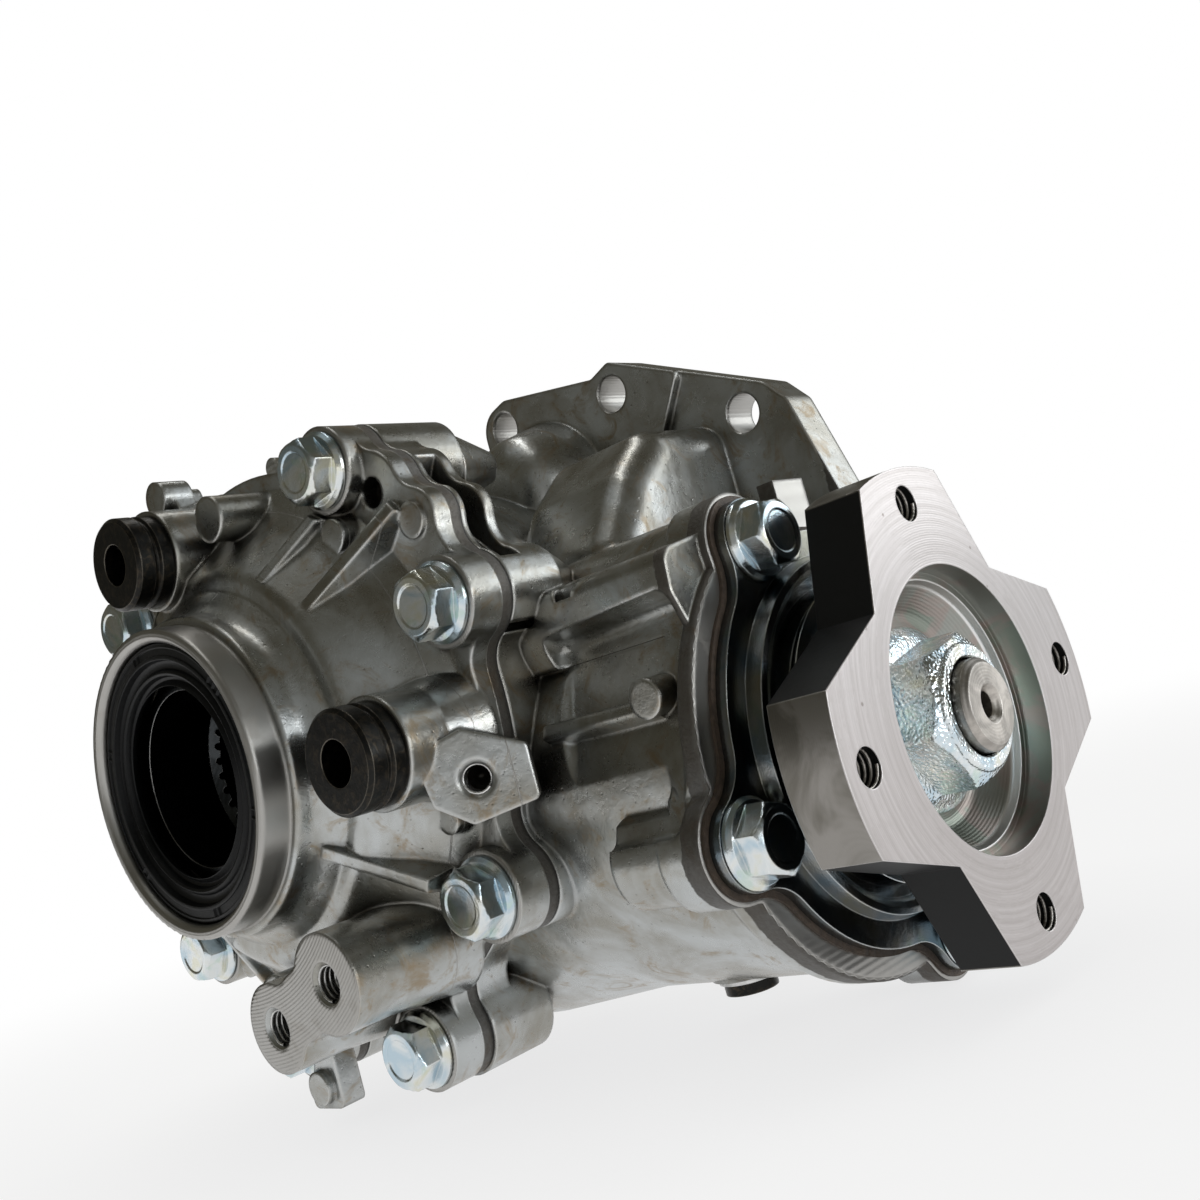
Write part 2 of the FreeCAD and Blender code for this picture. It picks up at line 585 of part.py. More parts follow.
def pinion_nut():
    across = 16.0 / math.cos(math.pi / 6)
    corners = [Vector(across * math.cos(math.radians(60 * k + 12)), 0,
                      across * math.sin(math.radians(60 * k + 12))) for k in range(6)]
    hexagon = Part.Face(Part.makePolygon(corners + corners[:1])).extrude(Vector(0, 13, 0))
    crown = turned_y([(0, 0), (0, 15.6), (2.4, 19), (13, 19), (13, 0)], 0)
    skirt = turned_y([(11.5, 0), (11.5, 17.5), (14, 22), (15.5, 22), (15.5, 0)], [0, 0.8, 1, 0.3, 0])
    collar = turned_y([(-0.8, 0), (-0.8, 14.2), (1, 14.8), (1, 0)], 0)
    nut = united([hexagon.common(crown), skirt, collar])
    bore = rod_y(10.95, -2, 20)
    relief = rod_y(12.6, -2, 1.5)
    return nut.cut(bore).cut(relief)


def hypoid_radius(reach):
    """pinion pitch radius where it meets the ring, at a distance along Y from the input axis"""
    return PINION_TEETH / RING_TEETH * (reach + INPUT_Z ** 2 / reach)


def pinion_shaft():
    head_start, head_end = 110.0, 133.0
    steps = 6
    span = (head_end - head_start) / steps
    blank = turned_y([(head_start, 0)] +
                     [(head_start + span * k,
                       hypoid_radius(INPUT_Y - head_start - span * k) + TOOTH_DEPTH / 2)
                      for k in range(steps + 1)] + [(head_end, 0)], 0)
    spaces = []
    for k in range(PINION_TEETH):
        spaces.append(pinion_space(2 * math.pi * k / PINION_TEETH, head_start - 1, head_end + 1))
    blank = cut_all(blank, spaces)
    stem = turned_y([(-4, 0), (-4, 9.4), (-2.6, 10.8), (15.5, 10.8), (16, SHAFT_RADIUS),
                     (61, SHAFT_RADIUS), (62, 15.5), (86, 15.5), (86.9, REAR_JOURNAL), (106, REAR_JOURNAL),
                     (106, 22), (head_start + 0.5, 24), (head_start + 0.5, 0)], 0)
    body = united([stem, blank])
    centre = united([rod_y(3.0, -5, 8), Part.makeCone(4.6, 3.0, 1.6, Vector(0, -4, 0), Y)])
    return body.cut(centre)


def pinion_space(angle, y0, y1):
    """one tooth space, turning along the head as the ring's radial lines cross it"""
    sections = []
    steps = 6
    for k in range(steps + 1):
        y = y0 + (y1 - y0) * k / steps
        reach = INPUT_Y - y
        radius = hypoid_radius(reach)
        top = radius + TOOTH_DEPTH / 2 + 1.0
        root = radius - TOOTH_DEPTH / 2 - MESH_GAP
        pitch = 2 * math.pi * radius / PINION_TEETH
        turn = angle + mesh_turn(reach)
        top_half = pitch * (MESH_SLOT / 2 + 0.10) / radius
        root_half = pitch * (MESH_SLOT / 2 - 0.12) / radius
        corners = [(top, -top_half), (root, -root_half), (root, root_half), (top, top_half)]
        points = [Vector(-r * math.cos(turn + a), y, r * math.sin(turn + a)) for r, a in corners]
        sections.append(Part.makePolygon(points + points[:1]))
    return Part.makeLoft(sections, True, True)


def mesh_turn(reach):
    """pinion turn that keeps a tooth on the ring's radial line, zero at mid face"""
    swing = math.atan(INPUT_Z / reach) - math.atan(INPUT_Z / MESH_REACH)
    return RING_TEETH / PINION_TEETH * swing


def ring_gear():
    """ring of radial teeth that face +X, pitched to roll on the pinion"""
    reach_out = math.sqrt(RING_OUTER ** 2 - INPUT_Z ** 2)
    reach_in = math.sqrt(RING_INNER ** 2 - INPUT_Z ** 2)
    pitch_out, pitch_in = -hypoid_radius(reach_out), -hypoid_radius(reach_in)
    half = TOOTH_DEPTH / 2
    blank = turned_x([(-46, RING_INNER - 8), (-46, RING_OUTER), (pitch_out + half, RING_OUTER),
                      (pitch_in + half, RING_INNER), (pitch_in - 4, RING_INNER - 1),
                      (-40, RING_INNER - 8)], 0)
    phase = math.atan2(-INPUT_Z, -MESH_REACH)
    for k in range(RING_TEETH):
        turn = phase + 2 * math.pi * (k + 0.5) / RING_TEETH
        sections = []
        for radius, pitch_x in ((RING_INNER - 3, pitch_in), (RING_OUTER + 3, pitch_out)):
            pitch = 2 * math.pi * radius / RING_TEETH
            top_half = pitch * (MESH_SLOT / 2 + 0.10)
            root_half = pitch * (MESH_SLOT / 2 - 0.12)
            out = Vector(0, math.cos(turn), math.sin(turn))
            side = Vector(0, -math.sin(turn), math.cos(turn))
            base = Vector(0, INPUT_Y, INPUT_Z) + out * radius
            corners = [(pitch_x + half + 1, -top_half), (pitch_x - half - MESH_GAP, -root_half),
                       (pitch_x - half - MESH_GAP, root_half), (pitch_x + half + 1, top_half)]
            points = [base + X * x + side * s for x, s in corners]
            sections.append(Part.makePolygon(points + points[:1]))
        blank = blank.cut(Part.makeLoft(sections, True, True))
    for k in range(RING_BOLT_COUNT):
        y, z = polar(RING_BOLT_RADIUS, 360 * (k + 0.5) / RING_BOLT_COUNT)
        blank = blank.cut(rod_x(3.5, -47, -36, y, z))
    return blank


def input_shaft():
    body = turned_x([(-98, SLEEVE_MOUTH), (-98, 26.2), (-97.2, SLEEVE_RADIUS), (-68, SLEEVE_RADIUS),
                     (-68, 32), (-60, 34), (-58, 34), (-58, 57), (-46, 57), (-46, 37.9), (-38, 37.9),
                     (-36, 34), (-30, 28.5), (38, 28.5), (38, FAR_JOURNAL), (60, FAR_JOURNAL),
                     (60, SLEEVE_BORE), (-78, SLEEVE_BORE), (-80, SLEEVE_MOUTH)], 0)
    for k in range(SPLINES):
        y, z = polar(SLEEVE_BORE, 360 * k / SPLINES)
        body = body.cut(rod_x(1.05, -81, -45, y, z))
    for k in range(RING_BOLT_COUNT):
        y, z = polar(RING_BOLT_RADIUS, 360 * (k + 0.5) / RING_BOLT_COUNT)
        body = body.cut(rod_x(4.2, -59, -45, y, z))
    return body


def ring_gear_bolts():
    bolts = []
    for k in range(RING_BOLT_COUNT):
        y, z = polar(RING_BOLT_RADIUS, 360 * (k + 0.5) / RING_BOLT_COUNT)
        hexagon = Part.Face(Part.makePolygon([
            Vector(0, 6.5 * math.cos(math.radians(60 * j)), 6.5 * math.sin(math.radians(60 * j)))
            for j in range(7)])).extrude(Vector(4.5, 0, 0))
        hexagon.translate(Vector(-62.5, y, z))
        bolts.append(united([hexagon, rod_x(3.5, -58.5, -37, y, z)]))
    return group(bolts)


# ---- bearings ----
def bearing(bore, outer, width, count, place):
    """tapered roller bearing along local Z, opening towards +Z: cup, cone, rollers, cage"""
    tilt = math.tan(ROLLER_TILT)
    middle = (bore + outer) / 2 + 0.3
    roller = (outer - bore) * 0.23
    length = width * 0.58
    mid = width / 2

    def track(z, side, gap):
        return middle + tilt * (z - mid) + side * (roller + gap) / math.cos(ROLLER_TILT)

    def spun(profile):
        points = [Vector(r, 0, z) for r, z in profile]
        face = Part.Face(Part.makePolygon(points + points[:1]))
        return face.revolve(Vector(0, 0, 0), Z, 360)

    cup_start, cup_end = 0.0, width * 0.88
    cup = spun([(track(cup_start, 1, CLEAR), cup_start), (outer, cup_start), (outer, cup_end),
                (track(cup_end, 1, CLEAR), cup_end)])
    cone_start, cone_end = width * 0.12, width
    rib = mid + length / 2 + 0.9
    cone = spun([(bore, cone_start), (track(cone_start, -1, 0.05), cone_start),
                 (track(rib, -1, 0.05), rib),
                 (track(rib, -1, 0.05) + roller * 0.7, rib), (track(rib, -1, 0.05) + roller * 0.7, cone_end),
                 (bore, cone_end)])
    rollers, slots = [], []
    axis = Vector(math.sin(ROLLER_TILT), 0, math.cos(ROLLER_TILT))
    for k in range(count):
        pin = Part.makeCylinder(roller, length, Vector(middle, 0, mid) - axis * (length / 2), axis)
        slot = Part.makeCylinder(roller + 0.25, length + 0.5,
                                 Vector(middle, 0, mid) - axis * (length / 2 + 0.25), axis)
        pin.rotate(Vector(0, 0, 0), Z, 360 * k / count)
        slot.rotate(Vector(0, 0, 0), Z, 360 * k / count)
        rollers.append(pin)
        slots.append(slot)
    low, high = mid - length / 2 - 0.9, mid + length / 2 + 0.8
    cage = spun([(middle + tilt * (low - mid) - 0.5, low), (middle + tilt * (low - mid) + 0.9, low),
                 (middle + tilt * (high - mid) + 0.9, high), (middle + tilt * (high - mid) - 0.5, high)])
    for slot in slots:
        cage = cage.cut(slot)
    shapes = [cup, cone, group(rollers), cage]
    for shape in shapes:
        shape.Placement = place.multiply(shape.Placement)
    return shapes


def facing(origin, direction):
    return FreeCAD.Placement(origin, FreeCAD.Rotation(Z, direction))


BEARINGS = {
    "pinion_front": (SHAFT_RADIUS, 32.0, 18.0, 15, facing(Vector(0, 62, 0), Y * -1)),
    "pinion_rear": (REAR_JOURNAL, 36.0, 20.0, 16, facing(Vector(0, 84.5, 0), Y)),
    "input_cover_side": (SLEEVE_RADIUS, 38.0, 18.0, 24, facing(Vector(-86, INPUT_Y, INPUT_Z), X)),
    "input_far_side": (FAR_JOURNAL, 35.0, 17.0, 22, facing(Vector(55, INPUT_Y, INPUT_Z), X * -1)),
}


# ---- seals, spacers and plugs ----
def seal_profile(outer, lip, start, end):
    """(along, radius) corners of a ring seal with its case outside and its lip inside"""
    wall = outer - SEAL_CASE
    return [(start, lip + 3), (start, outer), (end, outer), (end, wall), (start + 2, wall),
            (start + 2, lip + 4.5), (end - 1, lip + 2.2), (end - 1, lip), (end - 3, lip),
            (start + 1, lip + 2)]


def drain_plug():
    x, y, z = DRAIN_PLUG
    head = Part.makeCylinder(7.0, 3.0, Vector(x, y, z - 4.2), Z)
    stem = Part.makeCylinder(4.95, 13.2, Vector(x, y, z - 1.2), Z)
    socket = Part.makeCylinder(3.4, 3.2, Vector(x, y, z - 4.3), Z)
    return united([head, stem]).cut(socket)


def drain_plug_washer():
    x, y, z = DRAIN_PLUG
    ring = Part.makeCylinder(8.0, 1.2, Vector(x, y, z - 1.2), Z)
    return ring.cut(Part.makeCylinder(5.0, 4, Vector(x, y, z - 3), Z))


def fill_plug():
    across = 9.0 / math.cos(math.pi / 6)
    x, z = -2, INPUT_Z + 4
    corners = [Vector(x + across * math.cos(math.radians(60 * k)), FILL_PLUG_Y + 1.5,
                      z + across * math.sin(math.radians(60 * k))) for k in range(7)]
    head = Part.Face(Part.makePolygon(corners)).extrude(Vector(0, 6.5, 0))
    collar = rod_y(12.0, FILL_PLUG_Y + 1.5, FILL_PLUG_Y + 3.5, x, z)
    return united([head, collar, rod_y(9.0, FILL_PLUG_Y - 12, FILL_PLUG_Y + 2, x, z)])


def fill_plug_washer():
    return tube_y(12.5, 9.1, FILL_PLUG_Y, FILL_PLUG_Y + 1.5, -2, INPUT_Z + 4)


# ---- write every piece ----
def save(shape, name):
    shape.exportStep("parts/" + name + ".step")
    print(name, len(shape.Solids), "solids", round(shape.Volume / 1000, 2), "cm3",
          "valid" if shape.isValid() else "NOT VALID")


PIECES = {
    "main_housing": main_housing,
    "input_cover": input_cover,
    "cover_sealant": cover_sealant,
    "cover_bolts": cover_bolts,
    "joint_dowels": joint_dowels,
    "mount_collars": lambda: group([mount_collar(y, z) for y, z in COLLARS]),
    "output_seal_retainer": seal_retainer,
    "retainer_sealant": retainer_sealant,
    "retainer_bolts": retainer_bolts,
    "output_oil_seal": lambda: turned_y(seal_profile(32.5, HUB_RADIUS + CLEAR, 26.0, 36.0)),
    "input_oil_seal": lambda: turned_x(seal_profile(36.5, SLEEVE_RADIUS + CLEAR, -103.6, -94.2)),
    "far_oil_seal": lambda: turned_x(seal_profile(32.0, FAR_JOURNAL + CLEAR, 56.5, 63.5)),
    "far_bearing_shim": lambda: tube_x(35.0, 31.0, 55.0, 56.0),
    "drain_plug": drain_plug,
    "drain_plug_washer": drain_plug_washer,
    "fill_plug": fill_plug,
    "fill_plug_washer": fill_plug_washer,
    "companion_flange": companion_flange,
    "pinion_nut": pinion_nut,
    "pinion_shaft": pinion_shaft,
    "crush_sleeve": lambda: turned_y([(59.9, 15.7), (59.9, 18.6), (68, 18.6), (72, 21.5), (76, 18.6),
                                      (86.9, 20.0), (86.9, 18.1), (85.9, 15.7)], 0),
    "dust_slinger": lambda: turned_y([(20.6, HUB_RADIUS), (23.4, HUB_RADIUS), (23.4, 25.0), (21.7, 25.5),
                                      (21.7, 33.0), (23.4, 36.4), (22.5, 37.0), (20.6, 33.6)], 0),
    "pinion_shim": lambda: tube_y(26.0, REAR_JOURNAL + 0.05, 104.5, 106.0),
    "ring_gear": ring_gear,
    "ring_gear_bolts": ring_gear_bolts,
    "input_shaft": input_shaft,
}

os.makedirs("parts", exist_ok=True)
for name, make in PIECES.items():
    save(make(), name)
for name, (bore, outer, width, count, place) in BEARINGS.items():
    for shape, kind in zip(bearing(bore, outer, width, count, place),
                           ("outer_race", "inner_race", "rollers", "cage")):
        save(shape, name + "_" + kind)
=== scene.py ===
import json
import math

import bmesh
import bpy
from mathutils import Matrix, Vector


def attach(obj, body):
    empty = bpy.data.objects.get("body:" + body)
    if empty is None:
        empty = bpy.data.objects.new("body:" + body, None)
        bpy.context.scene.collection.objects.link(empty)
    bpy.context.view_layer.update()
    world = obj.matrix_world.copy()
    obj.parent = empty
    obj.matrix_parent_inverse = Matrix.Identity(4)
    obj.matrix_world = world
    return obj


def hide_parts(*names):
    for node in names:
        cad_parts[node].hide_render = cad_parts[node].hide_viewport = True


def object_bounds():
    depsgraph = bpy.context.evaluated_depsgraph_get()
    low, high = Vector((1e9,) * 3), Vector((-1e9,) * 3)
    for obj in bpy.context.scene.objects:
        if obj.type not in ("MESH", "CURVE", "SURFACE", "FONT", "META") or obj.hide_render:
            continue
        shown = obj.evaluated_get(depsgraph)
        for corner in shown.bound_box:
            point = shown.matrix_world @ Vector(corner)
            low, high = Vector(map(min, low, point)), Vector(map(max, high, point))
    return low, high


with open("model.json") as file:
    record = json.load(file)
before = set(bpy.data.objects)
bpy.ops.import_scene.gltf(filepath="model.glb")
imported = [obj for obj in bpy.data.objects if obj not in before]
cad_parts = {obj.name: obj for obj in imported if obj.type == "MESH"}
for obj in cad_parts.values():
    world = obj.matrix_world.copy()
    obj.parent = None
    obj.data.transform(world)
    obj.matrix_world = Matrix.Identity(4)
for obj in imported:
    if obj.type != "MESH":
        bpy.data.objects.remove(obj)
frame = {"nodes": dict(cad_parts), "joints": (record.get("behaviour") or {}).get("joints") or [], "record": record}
cadLow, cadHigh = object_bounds()
nodes = frame["nodes"]
record = frame["record"]
print("frame loaded:", len(nodes), "CAD nodes")

mm = 0.001
outX = Vector((1, 0, 0))
outY = Vector((0, 1, 0))


def jointPlace(name):
    for joint in frame["joints"]:
        if joint["name"] == name:
            return Vector(joint["pos_m"])


def mountNamed(name):
    for mount in record["mounts"]:
        if mount["name"] == name:
            return mount


inputAxis = jointPlace("input_spin")    # a point on the input axis
outputAxis = jointPlace("output_spin")


# One socket of a node tree, so that its maths reads as plain expressions.
class Wire:
    def __init__(self, tree, socket):
        self.tree = tree
        self.socket = socket

    def __add__(self, other):
        return self.tree.maths("ADD", self, other)

    def __radd__(self, other):
        return self.tree.maths("ADD", other, self)

    def __sub__(self, other):
        return self.tree.maths("SUBTRACT", self, other)

    def __rsub__(self, other):
        return self.tree.maths("SUBTRACT", other, self)

    def __mul__(self, other):
        return self.tree.maths("MULTIPLY", self, other)

    def __rmul__(self, other):
        return self.tree.maths("MULTIPLY", other, self)

    def __abs__(self):
        return self.tree.maths("ABSOLUTE", self)

    def atMost(self, other):
        return self.tree.maths("MINIMUM", self, other)

    def atLeast(self, other):
        return self.tree.maths("MAXIMUM", self, other)

    def root(self):
        return self.tree.maths("SQRT", self)

    def sine(self):
        return self.tree.maths("SINE", self)

    def ease(self, low, high):
        # 0 below low, 1 above high, smooth between; low may be the larger one
        return self.tree.node("ShaderNodeMapRange", {"interpolation_type": "SMOOTHSTEP"},
                              {"Value": self, "From Min": low, "From Max": high})


# A material's or a modifier's node tree.
class Tree:
    def __init__(self, nodeTree):
        self.nodeTree = nodeTree

    def node(self, kind, settings=None, sockets=None, out=0):
        made = self.nodeTree.nodes.new(kind)
        for key, value in (settings or {}).items():
            setattr(made, key, value)
        for key, value in (sockets or {}).items():
            self.feed(made.inputs[key], value)
        return Wire(self, made.outputs[out])

    def feed(self, target, value):
        if isinstance(value, Wire):
            self.nodeTree.links.new(value.socket, target)
        elif isinstance(value, tuple) and len(value) == 3 and target.type == "RGBA":
            target.default_value = (*value, 1.0)
        else:
            target.default_value = value

    def maths(self, operation, first, second=0.0):
        return self.node("ShaderNodeMath", {"operation": operation}, {0: first, 1: second})

    def vector(self, operation, first, second=(0.0, 0.0, 0.0), out=0):
        return self.node("ShaderNodeVectorMath", {"operation": operation}, {0: first, 1: second}, out)

    def blend(self, share, first, second, kind="MIX"):
        return self.node("ShaderNodeMix", {"data_type": "RGBA", "blend_type": kind},
                         {0: share, 6: first, 7: second}, 2)

    def noise(self, place, scale, detail, rough, twist=0.0):
        return self.node("ShaderNodeTexNoise", None,
                         {"Vector": place, "Scale": scale, "Detail": detail, "Roughness": rough,
                          "Distortion": twist}, "Fac")

    def cells(self, place, scale, feature="F1"):
        return self.node("ShaderNodeTexVoronoi", {"feature": feature},
                         {"Vector": place, "Scale": scale}, "Distance")


class Finish(Tree):
    def __init__(self, name):
        self.material = bpy.data.materials.new(name)
        self.material.use_nodes = True
        super().__init__(self.material.node_tree)
        self.nodeTree.nodes.clear()
        self.end = self.nodeTree.nodes.new("ShaderNodeOutputMaterial")
        local = self.node("ShaderNodeTexCoord", None, None, "Object")
        # object coordinates in millimetres
        self.place = self.node("ShaderNodeVectorMath", {"operation": "SCALE"}, {0: local, "Scale": 1 / mm})
        split = self.node("ShaderNodeSeparateXYZ", None, {0: self.place})
        self.x, self.y, self.z = [Wire(self, output) for output in split.socket.node.outputs]

    def distance(self, across, up):
        return (across * across + up * up).root()

    def fromInput(self):
        return self.distance(self.y - inputAxis.y / mm, self.z - inputAxis.z / mm)

    def fromOutput(self):
        return self.distance(self.x, self.z)

    def near(self, value, goal, width):
        return abs(value - goal).ease(width, width * 0.6)

    def flatNormal(self):
        return self.node("ShaderNodeNewGeometry", None, None, "True Normal")

    def rounded(self, radius, samples=6):
        return self.node("ShaderNodeBevel", {"samples": samples}, {"Radius": radius * mm})

    def openness(self, distance):
        return self.node("ShaderNodeAmbientOcclusion", {"samples": 6}, {"Distance": distance * mm}, "AO")

    def wornEdgeHighlight(self, softNormal, openness):
        # outside edges only, lightened as real wear and as a painted highlight: the rounded normal leaves the flat
        # one, and nothing stands near
        same = self.vector("DOT_PRODUCT", self.flatNormal(), softNormal, "Value")
        return (1.0 - same).ease(0.01, 0.12) * openness.ease(0.78, 0.95)

    def bumped(self, height, depth, softNormal=None):
        sockets = {"Height": height, "Distance": depth * mm}
        if softNormal:
            sockets["Normal"] = softNormal
        return self.node("ShaderNodeBump", None, sockets)

    def surface(self, colour, roughness, normal, metallic=1.0, fixed=None):
        sockets = {"Base Color": colour, "Roughness": roughness, "Metallic": metallic, "Normal": normal}
        sockets.update(fixed or {})
        return self.shown(self.node("ShaderNodeBsdfPrincipled", None, sockets))

    def shown(self, shader):
        self.feed(self.end.inputs["Surface"], shader)
        return self.material


def dress(name, material):
    mesh = nodes[name].data
    mesh.materials.clear()
    mesh.materials.append(material)


# Castings. Scales are per millimetre, lengths in millimetres.
castLook = {"pale": (0.53, 0.55, 0.55), "dark": (0.34, 0.33, 0.295), "brown": (0.31, 0.235, 0.145),
            "paintedShade": (0.035, 0.030, 0.023), "bare": (0.42, 0.41, 0.39), "edge": (0.72, 0.72, 0.70),
            "sealer": (0.055, 0.043, 0.033), "softEdge": 1.6, "crevice": 9.0, "patchScale": 0.035,
            "cloudScale": 0.16, "stainScale": 0.08, "grainScale": 1.1, "pitScale": 0.42,
            "polish": 0.17, "metal": 0.95, "relief": 0.35, "toolPitch": 7.0, "toolDepth": 0.05}


def castAluminium(name, machined, sealer):
    # machined says where the skin is cut bare, sealer where the joint's brown coat has run over it
    look = castLook
    f = Finish(name)
    soft = f.rounded(look["softEdge"], 8)
    patch = f.noise(f.place, look["patchScale"], 4, 0.6, 0.6)
    cloud = f.noise(f.place, look["cloudScale"], 5, 0.62, 0.3)
    stain = f.noise(f.place, look["stainScale"], 6, 0.7, 1.2).ease(0.52, 0.68)
    grain = f.noise(f.place, look["grainScale"], 3, 0.6)
    pits = f.cells(f.place, look["pitScale"]).ease(0.16, 0.02)
    colour = f.blend(patch.ease(0.36, 0.66), look["dark"], look["pale"])
    colour = f.blend(stain * 0.75, colour, look["brown"])
    colour = f.blend(cloud.ease(0.45, 0.75) * 0.35, colour, look["pale"])
    openness = f.openness(look["crevice"])
    # painted shade: darker where ambient occlusion finds corners and crevices
    colour = f.blend(openness.ease(0.8, 0.25) * 0.8, colour, look["paintedShade"])
    # edges lightened as wear and as a painted highlight
    colour = f.blend(f.wornEdgeHighlight(soft, openness) * 0.5, colour, look["edge"])
    cut = machined(f)
    colour = f.blend(cut * 0.9, colour, look["bare"])
    # casting pits darkened with the same painted shade colour
    colour = f.blend(pits * 0.35 * (1.0 - cut), colour, look["paintedShade"])
    coat = sealer(f) * (1.0 - grain * 0.3)
    colour = f.blend(coat * 0.92, colour, look["sealer"])
    rough = look["polish"] + cloud * 0.14 + grain * 0.10 + stain * 0.08 + cut * 0.05 + coat * 0.25
    height = (cloud * 0.55 + grain * 0.07 - pits * 0.14) * (1.0 - cut) + coat * grain * 0.6
    marks = (f.fromInput() * look["toolPitch"]).sine() * cut * look["toolDepth"]
    normal = f.bumped(height + marks, look["relief"], soft)
    return f.surface(colour, rough, normal, look["metal"] - coat * 0.7)


# where the cover's cut faces stand along X, and how wide its pilot ring is
coverFaces = {"pilotEnd": -105.5, "pilotRadius": 40.3, "pilotFoot": -97.4, "boss": -99.0,
              "boltSeats": -70.0, "joint": -60.2}


def coverMachined(f):
    pilot = coverFaces["pilotRadius"]
    foot = coverFaces["pilotFoot"]
    ring = f.fromInput().ease(pilot + 0.3, pilot) * f.x.ease(foot + 0.8, foot)
    end = f.near(f.x, coverFaces["pilotEnd"], 0.5)
    boss = f.near(f.x, coverFaces["boss"], 0.2)
    seats = f.near(f.x, coverFaces["boltSeats"], 0.15)
    return (end + ring + boss + seats).atMost(1.0)


def coverSealer(f):
    return f.x.ease(coverFaces["joint"] - 0.5, coverFaces["joint"])


# the housing's nose along Y, its bracket holes and the reach of the brown coat
noseFaces = {"retainer": 34.0, "coatEnd": 40.1, "coatWaver": 2.2, "coatInner": 40.0, "coatOuter": 44.0,
             "drillRadius": 5.6,
             "drilled": ("bracket_hole_rear", "bracket_hole_middle", "bracket_hole_front")}


def noseSealer(f):
    # the housing's edge behind the seal retainer
    waver = f.noise(f.place, 0.25, 4, 0.6) * noseFaces["coatWaver"]
    behind = (f.y + waver).ease(noseFaces["coatEnd"] + 0.5, noseFaces["coatEnd"])
    outside = f.fromOutput().ease(noseFaces["coatInner"], noseFaces["coatOuter"])
    front = f.vector("DOT_PRODUCT", f.flatNormal(), (0.0, -1.0, 0.0), "Value").ease(0.9, 0.98)
    return behind * outside * (1.0 - front)


def housingMachined(f):
    cut = f.near(f.y, noseFaces["retainer"], 0.2)
    radius = noseFaces["drillRadius"]
    for name in noseFaces["drilled"]:
        hole = mountNamed(name)["pos_m"]
        away = f.distance(f.y - hole[1] / mm, f.z - hole[2] / mm)
        cut = cut + away.ease(radius + 0.3, radius)
    return cut.atMost(1.0)


# Plated, oxidised and turned steel.
zincLook = {"plain": (0.74, 0.77, 0.77), "blue": (0.50, 0.62, 0.70), "green": (0.55, 0.68, 0.60),
            "straw": (0.72, 0.69, 0.50), "rim": (0.86, 0.88, 0.88), "paintedShade": (0.10, 0.10, 0.09),
            "softEdge": 0.5, "crevice": 4.0, "tintScale": 0.09, "filmScale": 0.22, "speckScale": 2.4,
            "dentScale": 1.3, "polish": 0.08, "relief": 0.12}


def zincPlate(name, depth=1.0, hammer=0.0):
    # depth scales the zinc's whole colour as painted shade or light: well below one for a plate that only sees the
    # dark underside of the flange, a little above one for the nut
    look = zincLook
    f = Finish(name)
    soft = f.rounded(look["softEdge"])
    tint = f.noise(f.place, look["tintScale"], 3, 0.5, 0.8)
    film = f.noise(f.place, look["filmScale"], 2, 0.5, 0.4)
    colour = f.blend(tint.ease(0.42, 0.62), look["plain"], look["blue"])
    colour = f.blend(film.ease(0.55, 0.7) * 0.6, colour, look["green"])
    colour = f.blend(tint.ease(0.45, 0.33) * 0.55, colour, look["straw"])
    # painted shade or light: the whole colour scaled by depth
    colour = f.blend(1.0, colour, (depth, depth, depth), "MULTIPLY")
    openness = f.openness(look["crevice"])
    # painted shade: darker where ambient occlusion finds crevices
    colour = f.blend(openness.ease(0.75, 0.2) * 0.6, colour, look["paintedShade"])
    # edges lightened as wear and as a painted highlight
    colour = f.blend(f.wornEdgeHighlight(soft, openness) * 0.6, colour, look["rim"])
    speck = f.noise(f.place, look["speckScale"], 3, 0.6)
    rough = look["polish"] + film * 0.12 + speck * 0.05
    height = film * 0.6 + speck * 0.25
    if hammer:
        dents = f.cells(f.place, look["dentScale"], "SMOOTH_F1")
        height = height + dents * hammer
        colour = f.blend(dents.ease(0.55, 0.2) * 0.35, colour, look["rim"])
    return f.surface(colour, rough, f.bumped(height, look["relief"], soft))


flangeLook = {"face": (0.54, 0.51, 0.505), "shade": (0.42, 0.39, 0.38), "fleck": (0.20, 0.17, 0.15),
              "rim": (0.17, 0.16, 0.14), "rimPale": (0.30, 0.285, 0.265), "bowl": (0.34, 0.345, 0.32),
              "tint": (0.36, 0.315, 0.29), "moss": (0.29, 0.32, 0.28), "oxide": (0.007, 0.0075, 0.008),
              "oxideDust": (0.02, 0.02, 0.019), "bright": (0.85, 0.84, 0.83), "softEdge": 0.45,
              "crevice": 3.0, "toolPitch": 11.0, "relief": 0.09, "specular": 0.25}
# radii of the recess, the bowl in it, the bright step of that and the turned rim, and the bowl's floor
flangeTurned = {"recess": 33.5, "bowl": 34.0, "step": 31.2, "rim": 56.6, "floor": 16.0}


